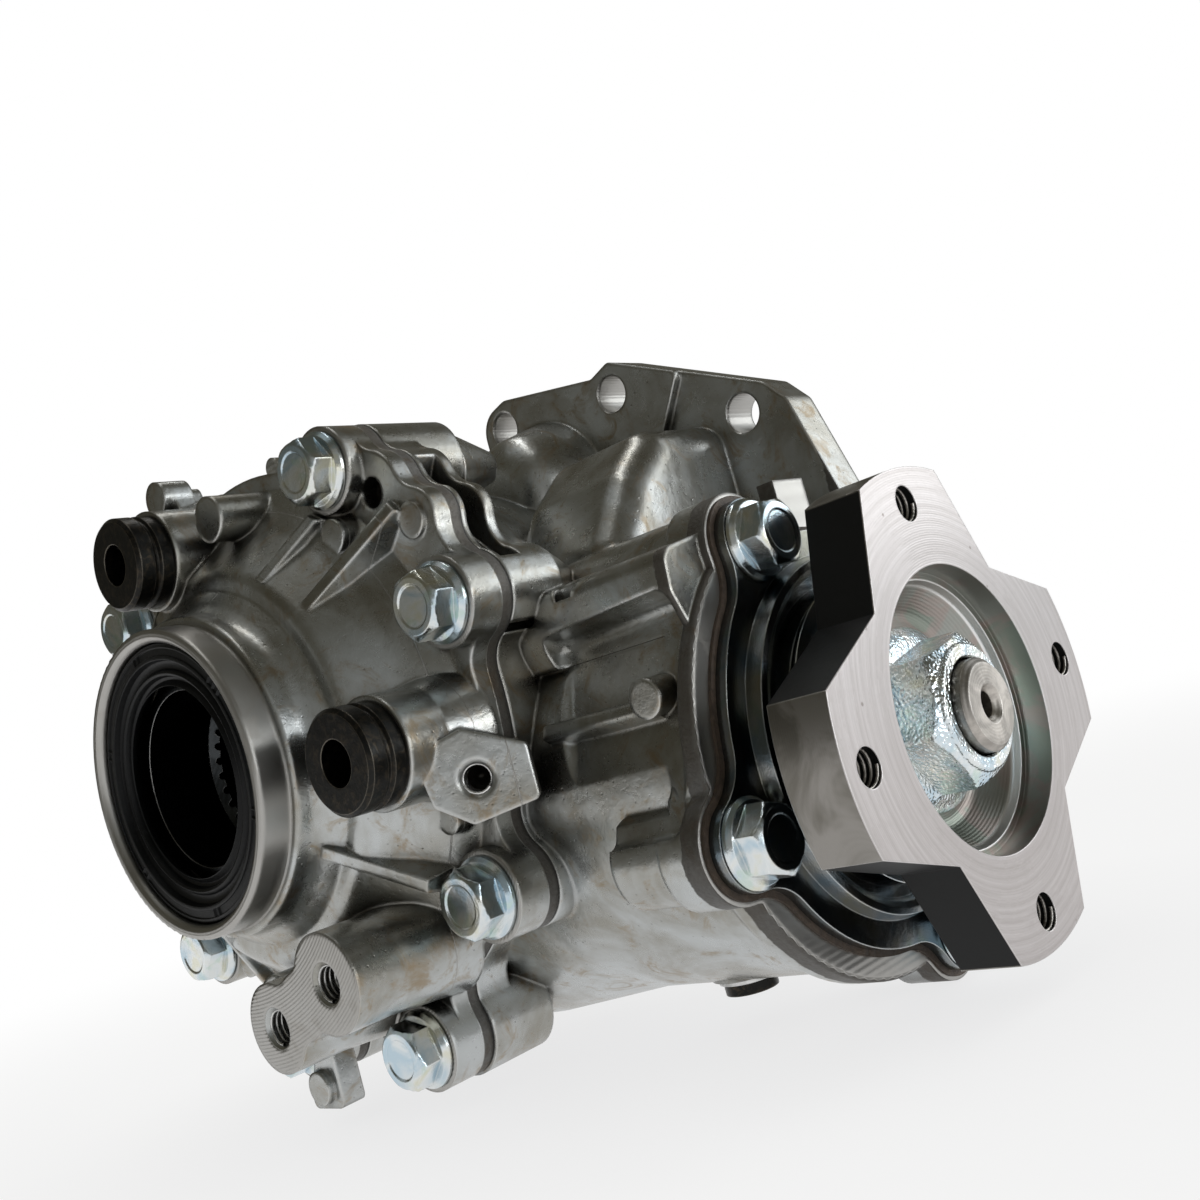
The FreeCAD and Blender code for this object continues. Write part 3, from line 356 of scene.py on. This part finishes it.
def turnedFlange():
    look = flangeLook
    cuts = flangeTurned
    f = Finish("turnedFlange")
    soft = f.rounded(look["softEdge"])
    away = f.fromOutput()
    face = f.near(f.y, 0.0, 0.35) * away.ease(cuts["recess"] - 0.1, cuts["recess"] + 0.1)
    rim = away.ease(cuts["rim"], cuts["rim"] + 0.25) * (1.0 - face)
    bowl = away.ease(cuts["bowl"] + 0.2, cuts["bowl"] - 0.2)
    bowl = bowl * f.y.ease(cuts["floor"] + 0.2, cuts["floor"] - 0.2)
    drift = f.noise(f.place, 0.05, 4, 0.6, 0.8)
    dust = f.noise(f.place, 0.9, 4, 0.65)
    colour = f.blend(dust * 0.25, look["oxide"], look["oxideDust"])
    colour = f.blend(rim, colour, f.blend(drift.ease(0.4, 0.6), look["rim"], look["rimPale"]))
    tint = f.blend(drift.ease(0.42, 0.52), look["bowl"], look["tint"])
    tint = f.blend(drift.ease(0.54, 0.62), tint, look["moss"])
    colour = f.blend(bowl, colour, tint)
    arcs = f.noise(f.node("ShaderNodeCombineXYZ", None, {"X": away, "Y": drift * 3.0}), 0.9, 4, 0.7)
    turned = f.blend(arcs.ease(0.25, 0.75), look["shade"], look["face"])
    turned = f.blend(f.cells(f.place, 0.11).ease(0.07, 0.03) * 0.7, turned, look["fleck"])
    colour = f.blend(face, colour, turned)
    colour = f.blend(f.near(away, cuts["step"], 0.7) * bowl, colour, look["bright"])
    bare = (face + rim + bowl).atMost(1.0)
    worn = f.wornEdgeHighlight(soft, f.openness(look["crevice"]))
    # turned edges lightened as wear and as a painted highlight
    colour = f.blend(worn * bare * 0.6, colour, look["bright"])
    rings = (away * look["toolPitch"] + dust * 2.0).sine() * (face * 0.4 + bowl).atMost(1.0)
    bands = (f.y * look["toolPitch"]).sine() * rim
    rough = 0.42 - bare * 0.16 + dust * 0.12
    height = rings * 0.12 + bands * 0.12 + dust * 0.2
    normal = f.bumped(height, look["relief"], soft)
    return f.surface(colour, rough, normal, bare, {"Specular IOR Level": look["specular"]})


oxideLook = {"dark": (0.018, 0.018, 0.017), "rust": (0.060, 0.048, 0.034), "edge": (0.30, 0.27, 0.22),
             "softEdge": 0.5, "crevice": 3.0, "rustScale": 0.5, "polish": 0.20, "metal": 0.9, "relief": 0.1}


def blackOxide():
    look = oxideLook
    f = Finish("blackOxide")
    soft = f.rounded(look["softEdge"])
    rust = f.noise(f.place, look["rustScale"], 5, 0.7, 0.5)
    colour = f.blend(rust.ease(0.45, 0.75), look["dark"], look["rust"])
    # oxide edges lightened as wear and as a painted highlight
    colour = f.blend(f.wornEdgeHighlight(soft, f.openness(look["crevice"])) * 0.6, colour, look["edge"])
    normal = f.bumped(rust, look["relief"], soft)
    return f.surface(colour, look["polish"] + rust * 0.25, normal, look["metal"])


# each steel's colour, roughness and turning marks per millimetre
steelLooks = {"pinionSteel": ((0.46, 0.43, 0.395), 0.28, 8.0), "groundSteel": ((0.62, 0.62, 0.61), 0.16, 5.0),
              "cageSteel": ((0.30, 0.285, 0.26), 0.38, 3.0), "gearSteel": ((0.36, 0.345, 0.33), 0.26, 6.0),
              # the input shaft's steel is painted near black for the shade deep in its bore
              "shadedBoreSteel": ((0.035, 0.038, 0.040), 0.22, 6.0), "softWasher": ((0.66, 0.66, 0.65), 0.3, 4.0)}
steelWear = {"paintedShade": (0.03, 0.027, 0.024), "edge": (0.8, 0.79, 0.77), "softEdge": 0.4, "crevice": 4.0,
             "relief": 0.08}


def shaftSteel(name):
    colour, roughness, pitch = steelLooks[name]
    look = steelWear
    f = Finish(name)
    soft = f.rounded(look["softEdge"])
    drift = f.noise(f.place, 0.12, 5, 0.6, 0.6)
    dust = f.noise(f.place, 1.6, 3, 0.6)
    pale = tuple(min(1.0, c * 1.35) for c in colour)
    dark = tuple(c * 0.7 for c in colour)
    base = f.blend(drift.ease(0.35, 0.65), dark, pale)
    openness = f.openness(look["crevice"])
    # painted shade: darker where ambient occlusion finds crevices
    base = f.blend(openness.ease(0.8, 0.2) * 0.6, base, look["paintedShade"])
    # edges lightened as wear and as a painted highlight
    base = f.blend(f.wornEdgeHighlight(soft, openness) * 0.5, base, look["edge"])
    rings = (f.fromOutput() * pitch).sine() * 0.15
    return f.surface(base, roughness + dust * 0.14, f.bumped(rings + dust * 0.3, look["relief"], soft))


rubberLook = {"dark": (0.003, 0.0035, 0.004), "dusty": (0.014, 0.015, 0.016), "edge": (0.045, 0.05, 0.052),
              "softEdge": 0.35, "crevice": 2.0, "dustScale": 0.8, "polish": 0.26, "relief": 0.06,
              "specular": 0.22}


def sealRubber():
    look = rubberLook
    f = Finish("sealRubber")
    soft = f.rounded(look["softEdge"])
    dust = f.noise(f.place, look["dustScale"], 5, 0.7)
    colour = f.blend(dust.ease(0.45, 0.8), look["dark"], look["dusty"])
    # painted highlight along the rubber's outside edges
    colour = f.blend(f.wornEdgeHighlight(soft, f.openness(look["crevice"])) * 0.6, colour, look["edge"])
    normal = f.bumped(dust, look["relief"], soft)
    return f.surface(colour, look["polish"] + dust * 0.25, normal, 0.0,
                     {"Specular IOR Level": look["specular"]})


def setSealant(name, colour):
    f = Finish(name)
    lump = f.noise(f.place, 0.5, 4, 0.6, 0.4)
    base = f.blend(lump.ease(0.35, 0.7), colour, tuple(c * 1.7 for c in colour))
    return f.surface(base, 0.45 + lump * 0.2, f.bumped(lump, 0.4), 0.0)


castHousing = castAluminium("castHousing", housingMachined, noseSealer)
zinc = zincPlate("zincPlate")
# the nut's copy is painted a little lighter, and hammered
nutZinc = zincPlate("nutZinc", 1.1, 2.2)
steel = {name: shaftSteel(name) for name in steelLooks}
rubber = sealRubber()

slotFinish = {"cast_aluminium": castHousing, "zinc_plate": zinc, "machined_steel": turnedFlange(),
              "black_oxide": blackOxide(), "forged_steel": steel["cageSteel"],
              "gear_steel": steel["gearSteel"], "ground_steel": steel["groundSteel"],
              "cage_steel": steel["cageSteel"], "seal_rubber": rubber,
              "brown_sealant": setSealant("brownSealant", (0.060, 0.042, 0.030)),
              "grey_sealant": setSealant("greySealant", (0.035, 0.033, 0.03)),
              "soft_aluminium": steel["softWasher"]}
# nodes that look unlike the rest of their slot
ownFinish = {"input_cover": castAluminium("castCover", coverMachined, coverSealer),
             # the retainer plate's zinc is painted dark for the dark underside of the flange that it reflects
             "pinion_shaft": steel["pinionSteel"], "output_seal_retainer": zincPlate("shadedZinc", 0.32),
             # painted shade: the input shaft is near black
             "input_shaft": steel["shadedBoreSteel"]}
for part in record["subparts"]:
    node = part["node"]
    dress(node, ownFinish.get(node, slotFinish[part["material_slot"]]))
print("finishes made:", len(bpy.data.materials))


def linked(name, data):
    made = bpy.data.objects.new(name, data)
    bpy.context.scene.collection.objects.link(made)
    return made


def meshObject(name, verts, faces, material):
    mesh = bpy.data.meshes.new(name)
    mesh.from_pydata([tuple(v) for v in verts], [], faces)
    mesh.validate()
    shape = bmesh.new()
    shape.from_mesh(mesh)
    bmesh.ops.remove_doubles(shape, verts=shape.verts, dist=1e-6)
    bmesh.ops.recalc_face_normals(shape, faces=shape.faces)
    shape.to_mesh(mesh)
    shape.free()
    mesh.materials.append(material)
    return linked(name, mesh)


def smooth(thing, degrees):
    thing.data.shade_smooth()
    thing.data.set_sharp_from_angle(angle=math.radians(degrees))
    return thing


def lathe(rows, steps, shaped):
    # rows of (along, radius) turned round Z; shaped(angle, along, radius) gives the pair at an angle
    verts = []
    faces = []
    for along, radius in rows:
        for k in range(steps):
            angle = 2 * math.pi * k / steps
            high, r = shaped(angle, along, radius)
            verts.append(Vector((r * math.cos(angle), r * math.sin(angle), high)) * mm)
    for row in range(len(rows) - 1):
        for k in range(steps):
            a = row * steps + k
            b = row * steps + (k + 1) % steps
            faces.append((a, b, b + steps, a + steps))
    return verts, faces


def hexRadius(angle, across):
    swing = (angle + math.pi / 6) % (math.pi / 3) - math.pi / 6
    return across / 2 / math.cos(swing)


# Flange bolts. A row at radius "open" lies outside the hexagon and is drawn in to its flats.
boltSizes = {"across": 15.0, "head": 8.6, "washer": 10.1, "washerTall": 2.4, "dish": 4.9, "dishDeep": 0.3,
             "shank": 4.9, "tip": 1.5, "open": 20.0, "cornerTall": 2.4, "cornerRows": 7, "steps": 72,
             "coverShank": 29.0, "retainerShank": 21.0,
             "spins": (0.2, 0.55, 0.1, 0.8, 0.35, 0.95, 0.62, 0.4)}


def flangeBoltMesh(name, shankLong):
    s = boltSizes
    top = s["head"]
    washer = s["washer"]
    brim = s["washerTall"]
    corner = s["across"] / 2 + 1.9
    rows = [(-shankLong, 0.0), (-shankLong, s["shank"] - 1.2), (-shankLong + s["tip"], s["shank"]),
            (0.0, s["shank"]), (0.0, washer - 0.3), (0.25, washer), (1.1, washer - 0.1),
            (brim - 0.5, washer - 0.8), (brim - 0.2, s["across"] / 2 + 1.6), (brim + 0.05, s["open"]),
            (brim + 1.0, s["open"]), (top - s["cornerTall"] - 0.2, s["open"])]
    for k in range(s["cornerRows"]):
        share = k / (s["cornerRows"] - 1)
        rows.append((top - s["cornerTall"] * (1 - share), corner - 2.6 * share ** 1.6))
    floor = top - s["dishDeep"]
    rows += [(top, s["dish"] + 0.4), (floor, s["dish"]), (floor, 0.0)]

    def shaped(angle, along, radius):
        if along <= brim - 0.1 or radius <= s["dish"] + 0.5:
            return along, radius
        return along, min(radius, hexRadius(angle, s["across"]))

    verts, faces = lathe(rows, s["steps"], shaped)
    return smooth(meshObject(name, verts, faces, zinc), 28)


def evaluatedMesh(holder):
    bpy.context.view_layer.update()
    return bpy.data.meshes.new_from_object(holder.evaluated_get(bpy.context.evaluated_depsgraph_get()))


def placedCopies(name, prototype, seats, material, body):
    # seats are (point, aim, spin): the prototype's Z turns to aim, and it spins about it
    mesh = bpy.data.meshes.new(name)
    mesh.from_pydata([tuple(point) for point, aim, spin in seats], [], [])
    mesh.attributes.new("aim", "FLOAT_VECTOR", "POINT")
    mesh.attributes.new("spin", "FLOAT", "POINT")
    for k, (point, aim, spin) in enumerate(seats):
        mesh.attributes["aim"].data[k].vector = tuple(aim)
        mesh.attributes["spin"].data[k].value = spin
    holder = linked(name + "Seats", mesh)

    group = bpy.data.node_groups.new(name + "Nodes", "GeometryNodeTree")
    group.interface.new_socket("Geometry", in_out="INPUT", socket_type="NodeSocketGeometry")
    piece = group.interface.new_socket("Piece", in_out="INPUT", socket_type="NodeSocketObject")
    size = group.interface.new_socket("Size", in_out="INPUT", socket_type="NodeSocketFloat")
    group.interface.new_socket("Geometry", in_out="OUTPUT", socket_type="NodeSocketGeometry")
    tree = Tree(group)
    entry = tree.node("NodeGroupInput").socket.node.outputs
    aim = tree.node("GeometryNodeInputNamedAttribute", {"data_type": "FLOAT_VECTOR"}, {"Name": "aim"})
    spin = tree.node("GeometryNodeInputNamedAttribute", {"data_type": "FLOAT"}, {"Name": "spin"})
    turned = tree.node("FunctionNodeAlignRotationToVector", {"axis": "Z"}, {"Vector": aim})
    info = tree.node("GeometryNodeObjectInfo", {"transform_space": "ORIGINAL"},
                     {"Object": Wire(tree, entry["Piece"]), "As Instance": True}, "Geometry")
    copies = tree.node("GeometryNodeInstanceOnPoints", None,
                       {"Points": Wire(tree, entry["Geometry"]), "Instance": info, "Rotation": turned,
                        "Scale": Wire(tree, entry["Size"])})
    axisTurn = tree.node("ShaderNodeCombineXYZ", None, {"Z": spin})
    copies = tree.node("GeometryNodeRotateInstances", None,
                       {"Instances": copies, "Rotation": axisTurn, "Local Space": True})
    solid = tree.node("GeometryNodeRealizeInstances", None, {"Geometry": copies})
    painted = tree.node("GeometryNodeSetMaterial", None, {"Geometry": solid, "Material": material})
    tree.feed(group.nodes.new("NodeGroupOutput").inputs["Geometry"], painted)

    modifier = holder.modifiers.new("copies", "NODES")
    modifier.node_group = group
    modifier[piece.identifier] = prototype
    modifier[size.identifier] = 1.0
    made = linked(name, evaluatedMesh(holder))
    made.data.name = name
    holder.modifiers.clear()
    bpy.data.objects.remove(holder)
    bpy.data.objects.remove(prototype)
    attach(made, body)
    return made


def solidSeats(node, axis, depth):
    # one seat for each loose solid of a CAD node, on its axis, at a depth from its low side
    shape = bmesh.new()
    shape.from_mesh(nodes[node].data)
    bmesh.ops.remove_doubles(shape, verts=shape.verts, dist=1e-7)
    seats = []
    left = set(shape.verts)
    while left:
        todo = [left.pop()]
        island = []
        while todo:
            vert = todo.pop()
            island.append(vert.co.copy())
            for edge in vert.link_edges:
                other = edge.other_vert(vert)
                if other in left:
                    left.remove(other)
                    todo.append(other)
        low = Vector([min(v[k] for v in island) for k in range(3)])
        high = Vector([max(v[k] for v in island) for k in range(3)])
        middle = (low + high) / 2
        middle[axis] = low[axis] + depth
        seats.append(middle)
    shape.free()
    return sorted(seats, key=lambda p: (round(p.x, 4), round(p.y, 4), round(p.z, 4)))


def boltSeats(node, axis, aim):
    points = solidSeats(node, axis, boltSizes["head"] * mm)
    return [(point, aim, boltSizes["spins"][k]) for k, point in enumerate(points)]


coverSeats = boltSeats("cover_bolts", 0, -outX)
coverScrews = placedCopies("cover_flange_bolts", flangeBoltMesh("boltLong", boltSizes["coverShank"]),
                           coverSeats, zinc, "case")
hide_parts("cover_bolts")
retainerSeats = boltSeats("retainer_bolts", 1, -outY)
retainerScrews = placedCopies("retainer_flange_bolts",
                              flangeBoltMesh("boltShort", boltSizes["retainerShank"]),
                              retainerSeats, zinc, "case")
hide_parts("retainer_bolts")
print("bolts placed:", len(coverSeats) + len(retainerSeats))


# Pinion nut. Heights are from the flange's face, outwards.
nutSizes = {"across": 32.0, "skirt": 22.0, "foot": -15.5, "neck": -11.4, "cone": 19.0, "bore": 11.0,
            "crown": 14.9, "corner": 19.4, "cornerRows": 9, "spin": 12.0, "chamfer": 3.4, "top": 0.8,
            "open": 30.0, "steps": 144}


def pinionNutMesh(name):
    s = nutSizes
    foot, neck, top = s["foot"], s["neck"], s["top"]
    skirt, bore, crown = s["skirt"], s["bore"], s["crown"]
    rows = [(foot, bore), (foot, skirt - 0.3), (foot + 0.5, skirt), (foot + 1.5, skirt),
            (foot + 2.6, skirt - 1.0), (neck - 0.4, s["cone"]), (neck, s["open"]), (neck + 0.4, s["open"]),
            (-6.0, s["open"])]
    for k in range(s["cornerRows"]):
        share = k / (s["cornerRows"] - 1)
        rows.append((-s["chamfer"] * (1 - share) - 0.2, s["corner"] + (crown - s["corner"]) * share ** 1.3))
    rows += [(top - 0.5, crown - 0.15), (top, crown - 0.7), (top, bore + 0.8), (top - 0.6, bore + 0.3),
             (-2.0, bore + 0.1), (foot, bore)]

    def shaped(angle, along, radius):
        if along < neck or radius <= crown:
            return along, radius
        return along, min(radius, hexRadius(angle - math.radians(s["spin"] + 30), s["across"]))

    verts, faces = lathe(rows, s["steps"], shaped)
    # local Z leaves the flange face, towards -Y
    turned = [Vector((v.x, outputAxis.y - v.z, v.y)) for v in verts]
    return smooth(meshObject(name, turned, faces, nutZinc), 26)


lockNut = pinionNutMesh("flanged_lock_nut")
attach(lockNut, "output_drive")
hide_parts("pinion_nut")


# Input seal. Its folds are (depth behind the front, radius), from the outer ring in to the lip.
sealSizes = {"front": 103.6, "rear": 94.2, "outer": 36.4, "inner": 31.5, "tickLow": 33.0, "tickHigh": 34.9,
             "tickTall": 0.45, "ticks": (20, 24, 78, 82, 140, 144, 148, 200, 204, 262, 266, 322, 326),
             "folds": ((0.0, 32.4), (0.1, 31.9), (1.7, 31.4), (2.1, 30.6), (2.0, 29.4), (1.2, 28.9),
                       (0.9, 28.3), (1.2, 27.7), (2.6, 27.2), (2.9, 26.4), (2.3, 25.6), (1.7, 25.2),
                       (1.5, 25.0), (1.8, 24.9), (2.4, 25.1), (4.2, 26.6), (4.6, 28.4), (5.6, 30.5))}


def lipSealMesh(name):
    s = sealSizes
    front, rear, outer = s["front"], s["rear"], s["outer"]
    low, high = s["tickLow"], s["tickHigh"]
    rows = [(rear, outer), (front - 1.2, outer), (front - 0.4, outer - 0.4), (front - 0.1, outer - 1.0),
            (front - 0.1, high + 0.1), (front - 0.45, high), (front - 0.45, low), (front - 0.1, low - 0.1)]
    rows += [(front - deep, radius) for deep, radius in s["folds"]]
    rows += [(rear, s["inner"]), (rear, outer)]

    def shaped(angle, along, radius):
        if low <= radius <= high and along > front - 1 and round(math.degrees(angle)) in s["ticks"]:
            along += s["tickTall"]
        return along, radius

    verts, faces = lathe(rows, 360, shaped)    # a step for each degree, so that the ticks fall on steps
    turned = [Vector((-v.z, inputAxis.y + v.x, inputAxis.z + v.y)) for v in verts]
    return smooth(meshObject(name, turned, faces, rubber), 34)


lipSeal = lipSealMesh("input_lip_seal")
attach(lipSeal, "case")
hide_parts("input_oil_seal")
print("nut and input seal made")


# Screw threads in the tapped holes. Turns are how often each coil goes round.
threadSizes = {"pitch": 1.5, "ridge": 0.42, "inset": 0.9, "steps": 20, "radius": 4.3, "blockRadius": 3.4,
               "flangeTurns": 8.5, "bossTurns": 12.5, "blockTurns": 7.5, "flangePhase": 4.3, "blockMouth": 5}


def threadCoil(name, radius, turns):
    steps = threadSizes["steps"]
    coil = bpy.data.curves.new(name, "CURVE")
    coil.dimensions = "3D"
    line = coil.splines.new("POLY")
    count = int(turns * steps) + 1
    line.points.add(count - 1)
    for k in range(count):
        angle = 2 * math.pi * k / steps
        line.points[k].co = (radius * mm * math.cos(angle), radius * mm * math.sin(angle),
                             threadSizes["pitch"] * mm * k / steps, 1.0)
    coil.bevel_depth = threadSizes["ridge"] * mm
    coil.bevel_resolution = 1
    holder = linked(name, coil)
    mesh = evaluatedMesh(holder)
    bpy.data.objects.remove(holder)
    mesh.shade_smooth()
    return linked(name, mesh)


def threadedBores(name, holes, radius, turns, material, body):
    # holes are (mouth, direction inwards)
    seats = [(mouth + inward * threadSizes["inset"] * mm, inward, 0.0) for mouth, inward in holes]
    placedCopies(name, threadCoil(name + "Coil", radius, turns), seats, material, body)


pattern = mountNamed("output_flange_pattern")["dims"]
flangeHoles = []
for k in range(pattern["count"]):
    away = pattern["pcd_mm"] / 2 * mm
    turn = math.radians(threadSizes["flangePhase"]) + math.pi / 2 * k
    flangeHoles.append((Vector((away * math.cos(turn), 0, away * math.sin(turn))), outY))
threadedBores("flange_threads", flangeHoles, threadSizes["radius"], threadSizes["flangeTurns"],
              steel["pinionSteel"], "output_drive")
bossHoles = []
for name in ("boss_tapping_upper", "boss_tapping_lower"):
    mouth = Vector(mountNamed(name)["pos_m"])
    mouth.x = coverFaces["boss"] * mm
    bossHoles.append((mouth, outX))
threadedBores("boss_threads", bossHoles, threadSizes["radius"], threadSizes["bossTurns"],
              steel["groundSteel"], "case")
blockMount = mountNamed("block_tapping")
blockAim = -Vector(blockMount["axis"])
blockMouth = Vector(blockMount["pos_m"]) - blockAim * threadSizes["blockMouth"] * mm
threadedBores("block_threads", [(blockMouth, blockAim)], threadSizes["blockRadius"],
              threadSizes["blockTurns"], steel["groundSteel"], "case")
print("threads cut")


# Stage, light and camera.
floorLook = {"reach": 2.0, "drop": 0.0005, "white": (1.0, 1.0, 1.0), "shadow": (0.88, 0.88, 0.885),
             "shadowReach": 0.10, "matt": (0.9, 0.9, 0.9), "shown": 0.86, "fadeFrom": 250.0, "fadeTo": 900.0}


def makeFloor():
    look = floorLook
    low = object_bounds()[0].z - look["drop"]
    reach = look["reach"]
    f = Finish("palePaper")
    rays = f.node("ShaderNodeLightPath").socket.node.outputs
    seen = Wire(f, rays["Is Camera Ray"]) + Wire(f, rays["Is Glossy Ray"])
    seen = (seen + Wire(f, rays["Is Transmission Ray"])).atMost(1.0)
    # painted shadow: the floor's white glow is dimmed where ambient occlusion finds the object nearby
    shade = f.node("ShaderNodeAmbientOcclusion", {"samples": 8}, {"Distance": look["shadowReach"]}, "AO")
    lit = f.node("ShaderNodeEmission", None, {"Color": f.blend(shade, look["shadow"], look["white"])})
    matt = f.node("ShaderNodeBsdfDiffuse", None, {"Color": look["matt"]})
    away = f.vector("LENGTH", f.place, out="Value").ease(look["fadeFrom"], look["fadeTo"])
    share = seen * (look["shown"] + away * (1 - look["shown"]))
    paper = f.shown(f.node("ShaderNodeMixShader", None, {0: share, 1: matt, 2: lit}))
    corners = [(-reach, -reach, low), (reach, -reach, low), (reach, reach, low), (-reach, reach, low)]
    meshObject("floor", corners, [(0, 1, 2, 3)], paper)


# bright patches are (direction, cosine where it starts, cosine where it is full, strength)
tentLook = {"radius": 3.0, "shade": (0.092, 0.086, 0.066), "bright": (0.96, 1.0, 1.02),
            "side": (0.45, -0.89, 0.0),
            "patches": (((0.77, -0.43, 0.46), 0.88, 0.97, 1.0), ((-0.60, -0.80, 0.0), 0.55, 0.95, 0.2),
                        ((-0.2, 0.1, 0.97), 0.90, 0.99, 0.3), ((-0.74, 0.66, 0.10), 0.93, 0.985, 0.12))}


def makeTent():
    # a cloth tent round the object: dull above and to the left, bright to the right
    look = tentLook
    shape = bmesh.new()
    bmesh.ops.create_icosphere(shape, subdivisions=4, radius=look["radius"])
    mesh = bpy.data.meshes.new("lightTent")
    shape.to_mesh(mesh)
    shape.free()
    f = Finish("tentCloth")
    aim = f.vector("NORMALIZE", f.place)
    flatAim = f.vector("NORMALIZE", f.vector("MULTIPLY", f.place, (1.0, 1.0, 0.0)))
    level = f.vector("DOT_PRODUCT", flatAim, look["side"], "Value").ease(0.35, 0.85)
    level = level * f.vector("DOT_PRODUCT", aim, (0.0, 0.0, 1.0), "Value").ease(0.50, 0.12)
    for direction, start, full, strength in look["patches"]:
        patch = f.vector("DOT_PRODUCT", aim, direction, "Value").ease(start, full)
        level = level.atLeast(patch * strength)
    glow = f.node("ShaderNodeEmission", None, {"Color": f.blend(level, look["shade"], look["bright"])})
    mesh.materials.append(f.shown(glow))
    tent = linked("lightTent", mesh)
    tent.visible_camera = False


def makeWorld():
    world = bpy.data.worlds.new("paleRoom")
    bpy.context.scene.world = world
    world.use_nodes = True
    room = world.node_tree.nodes["Background"]
    room.inputs["Color"].default_value = (1.0, 1.0, 1.0, 1.0)
    room.inputs["Strength"].default_value = 1.0


# places and sizes in metres, power in watts; all lamps aim at the middle of the object
lamps = {"stripAbove": {"place": (0.1, 0.25, 0.95), "power": 0.9, "wide": 0.06, "tall": 0.9,
                        "colour": (1.0, 0.99, 0.97)},
         "boxRight": {"place": (0.30, -1.02, 0.03), "power": 5.2, "wide": 0.9, "tall": 0.5,
                      "colour": (0.97, 0.99, 1.0)},
         "keyRight": {"place": (0.84, -0.50, 0.34), "power": 1.2, "wide": 0.5, "tall": 0.45,
                      "colour": (0.98, 1.0, 1.0)}}


def makeLamp(name, sizes, target):
    light = bpy.data.lights.new(name, "AREA")
    light.shape = "RECTANGLE"
    light.size = sizes["wide"]
    light.size_y = sizes["tall"]
    light.energy = sizes["power"]
    light.color = sizes["colour"]
    lamp = linked(name, light)
    lamp.location = sizes["place"]
    lamp.rotation_euler = (target - Vector(sizes["place"])).to_track_quat("-Z", "Y").to_euler()


# place in millimetres, and the three directions of the camera's own axes
cameraView = {"place": (-274.5, -149.7, 19.7), "right": (0.6686, -0.6938, -0.2677),
              "up": (0.1201, -0.2545, 0.9596), "back": (-0.7338, -0.6738, -0.0868),
              "sensor": 36.0, "lens": 39.92, "clipNear": 0.01, "clipFar": 50.0}


def makeCamera():
    view = cameraView
    data = bpy.data.cameras.new("camera")
    camera = linked("camera", data)
    turn = Matrix((view["right"], view["up"], view["back"])).transposed().to_4x4()
    camera.matrix_world = Matrix.Translation(Vector(view["place"]) * mm) @ turn
    data.sensor_width = view["sensor"]
    data.lens = view["lens"]
    data.clip_start = view["clipNear"]
    data.clip_end = view["clipFar"]
    bpy.context.scene.camera = camera


makeFloor()
makeTent()
makeWorld()
for name, lamp in lamps.items():
    makeLamp(name, lamp, (cadLow + cadHigh) / 2)
makeCamera()
bpy.context.scene.view_settings.view_transform = "Standard"
print("stage, lights and camera ready")
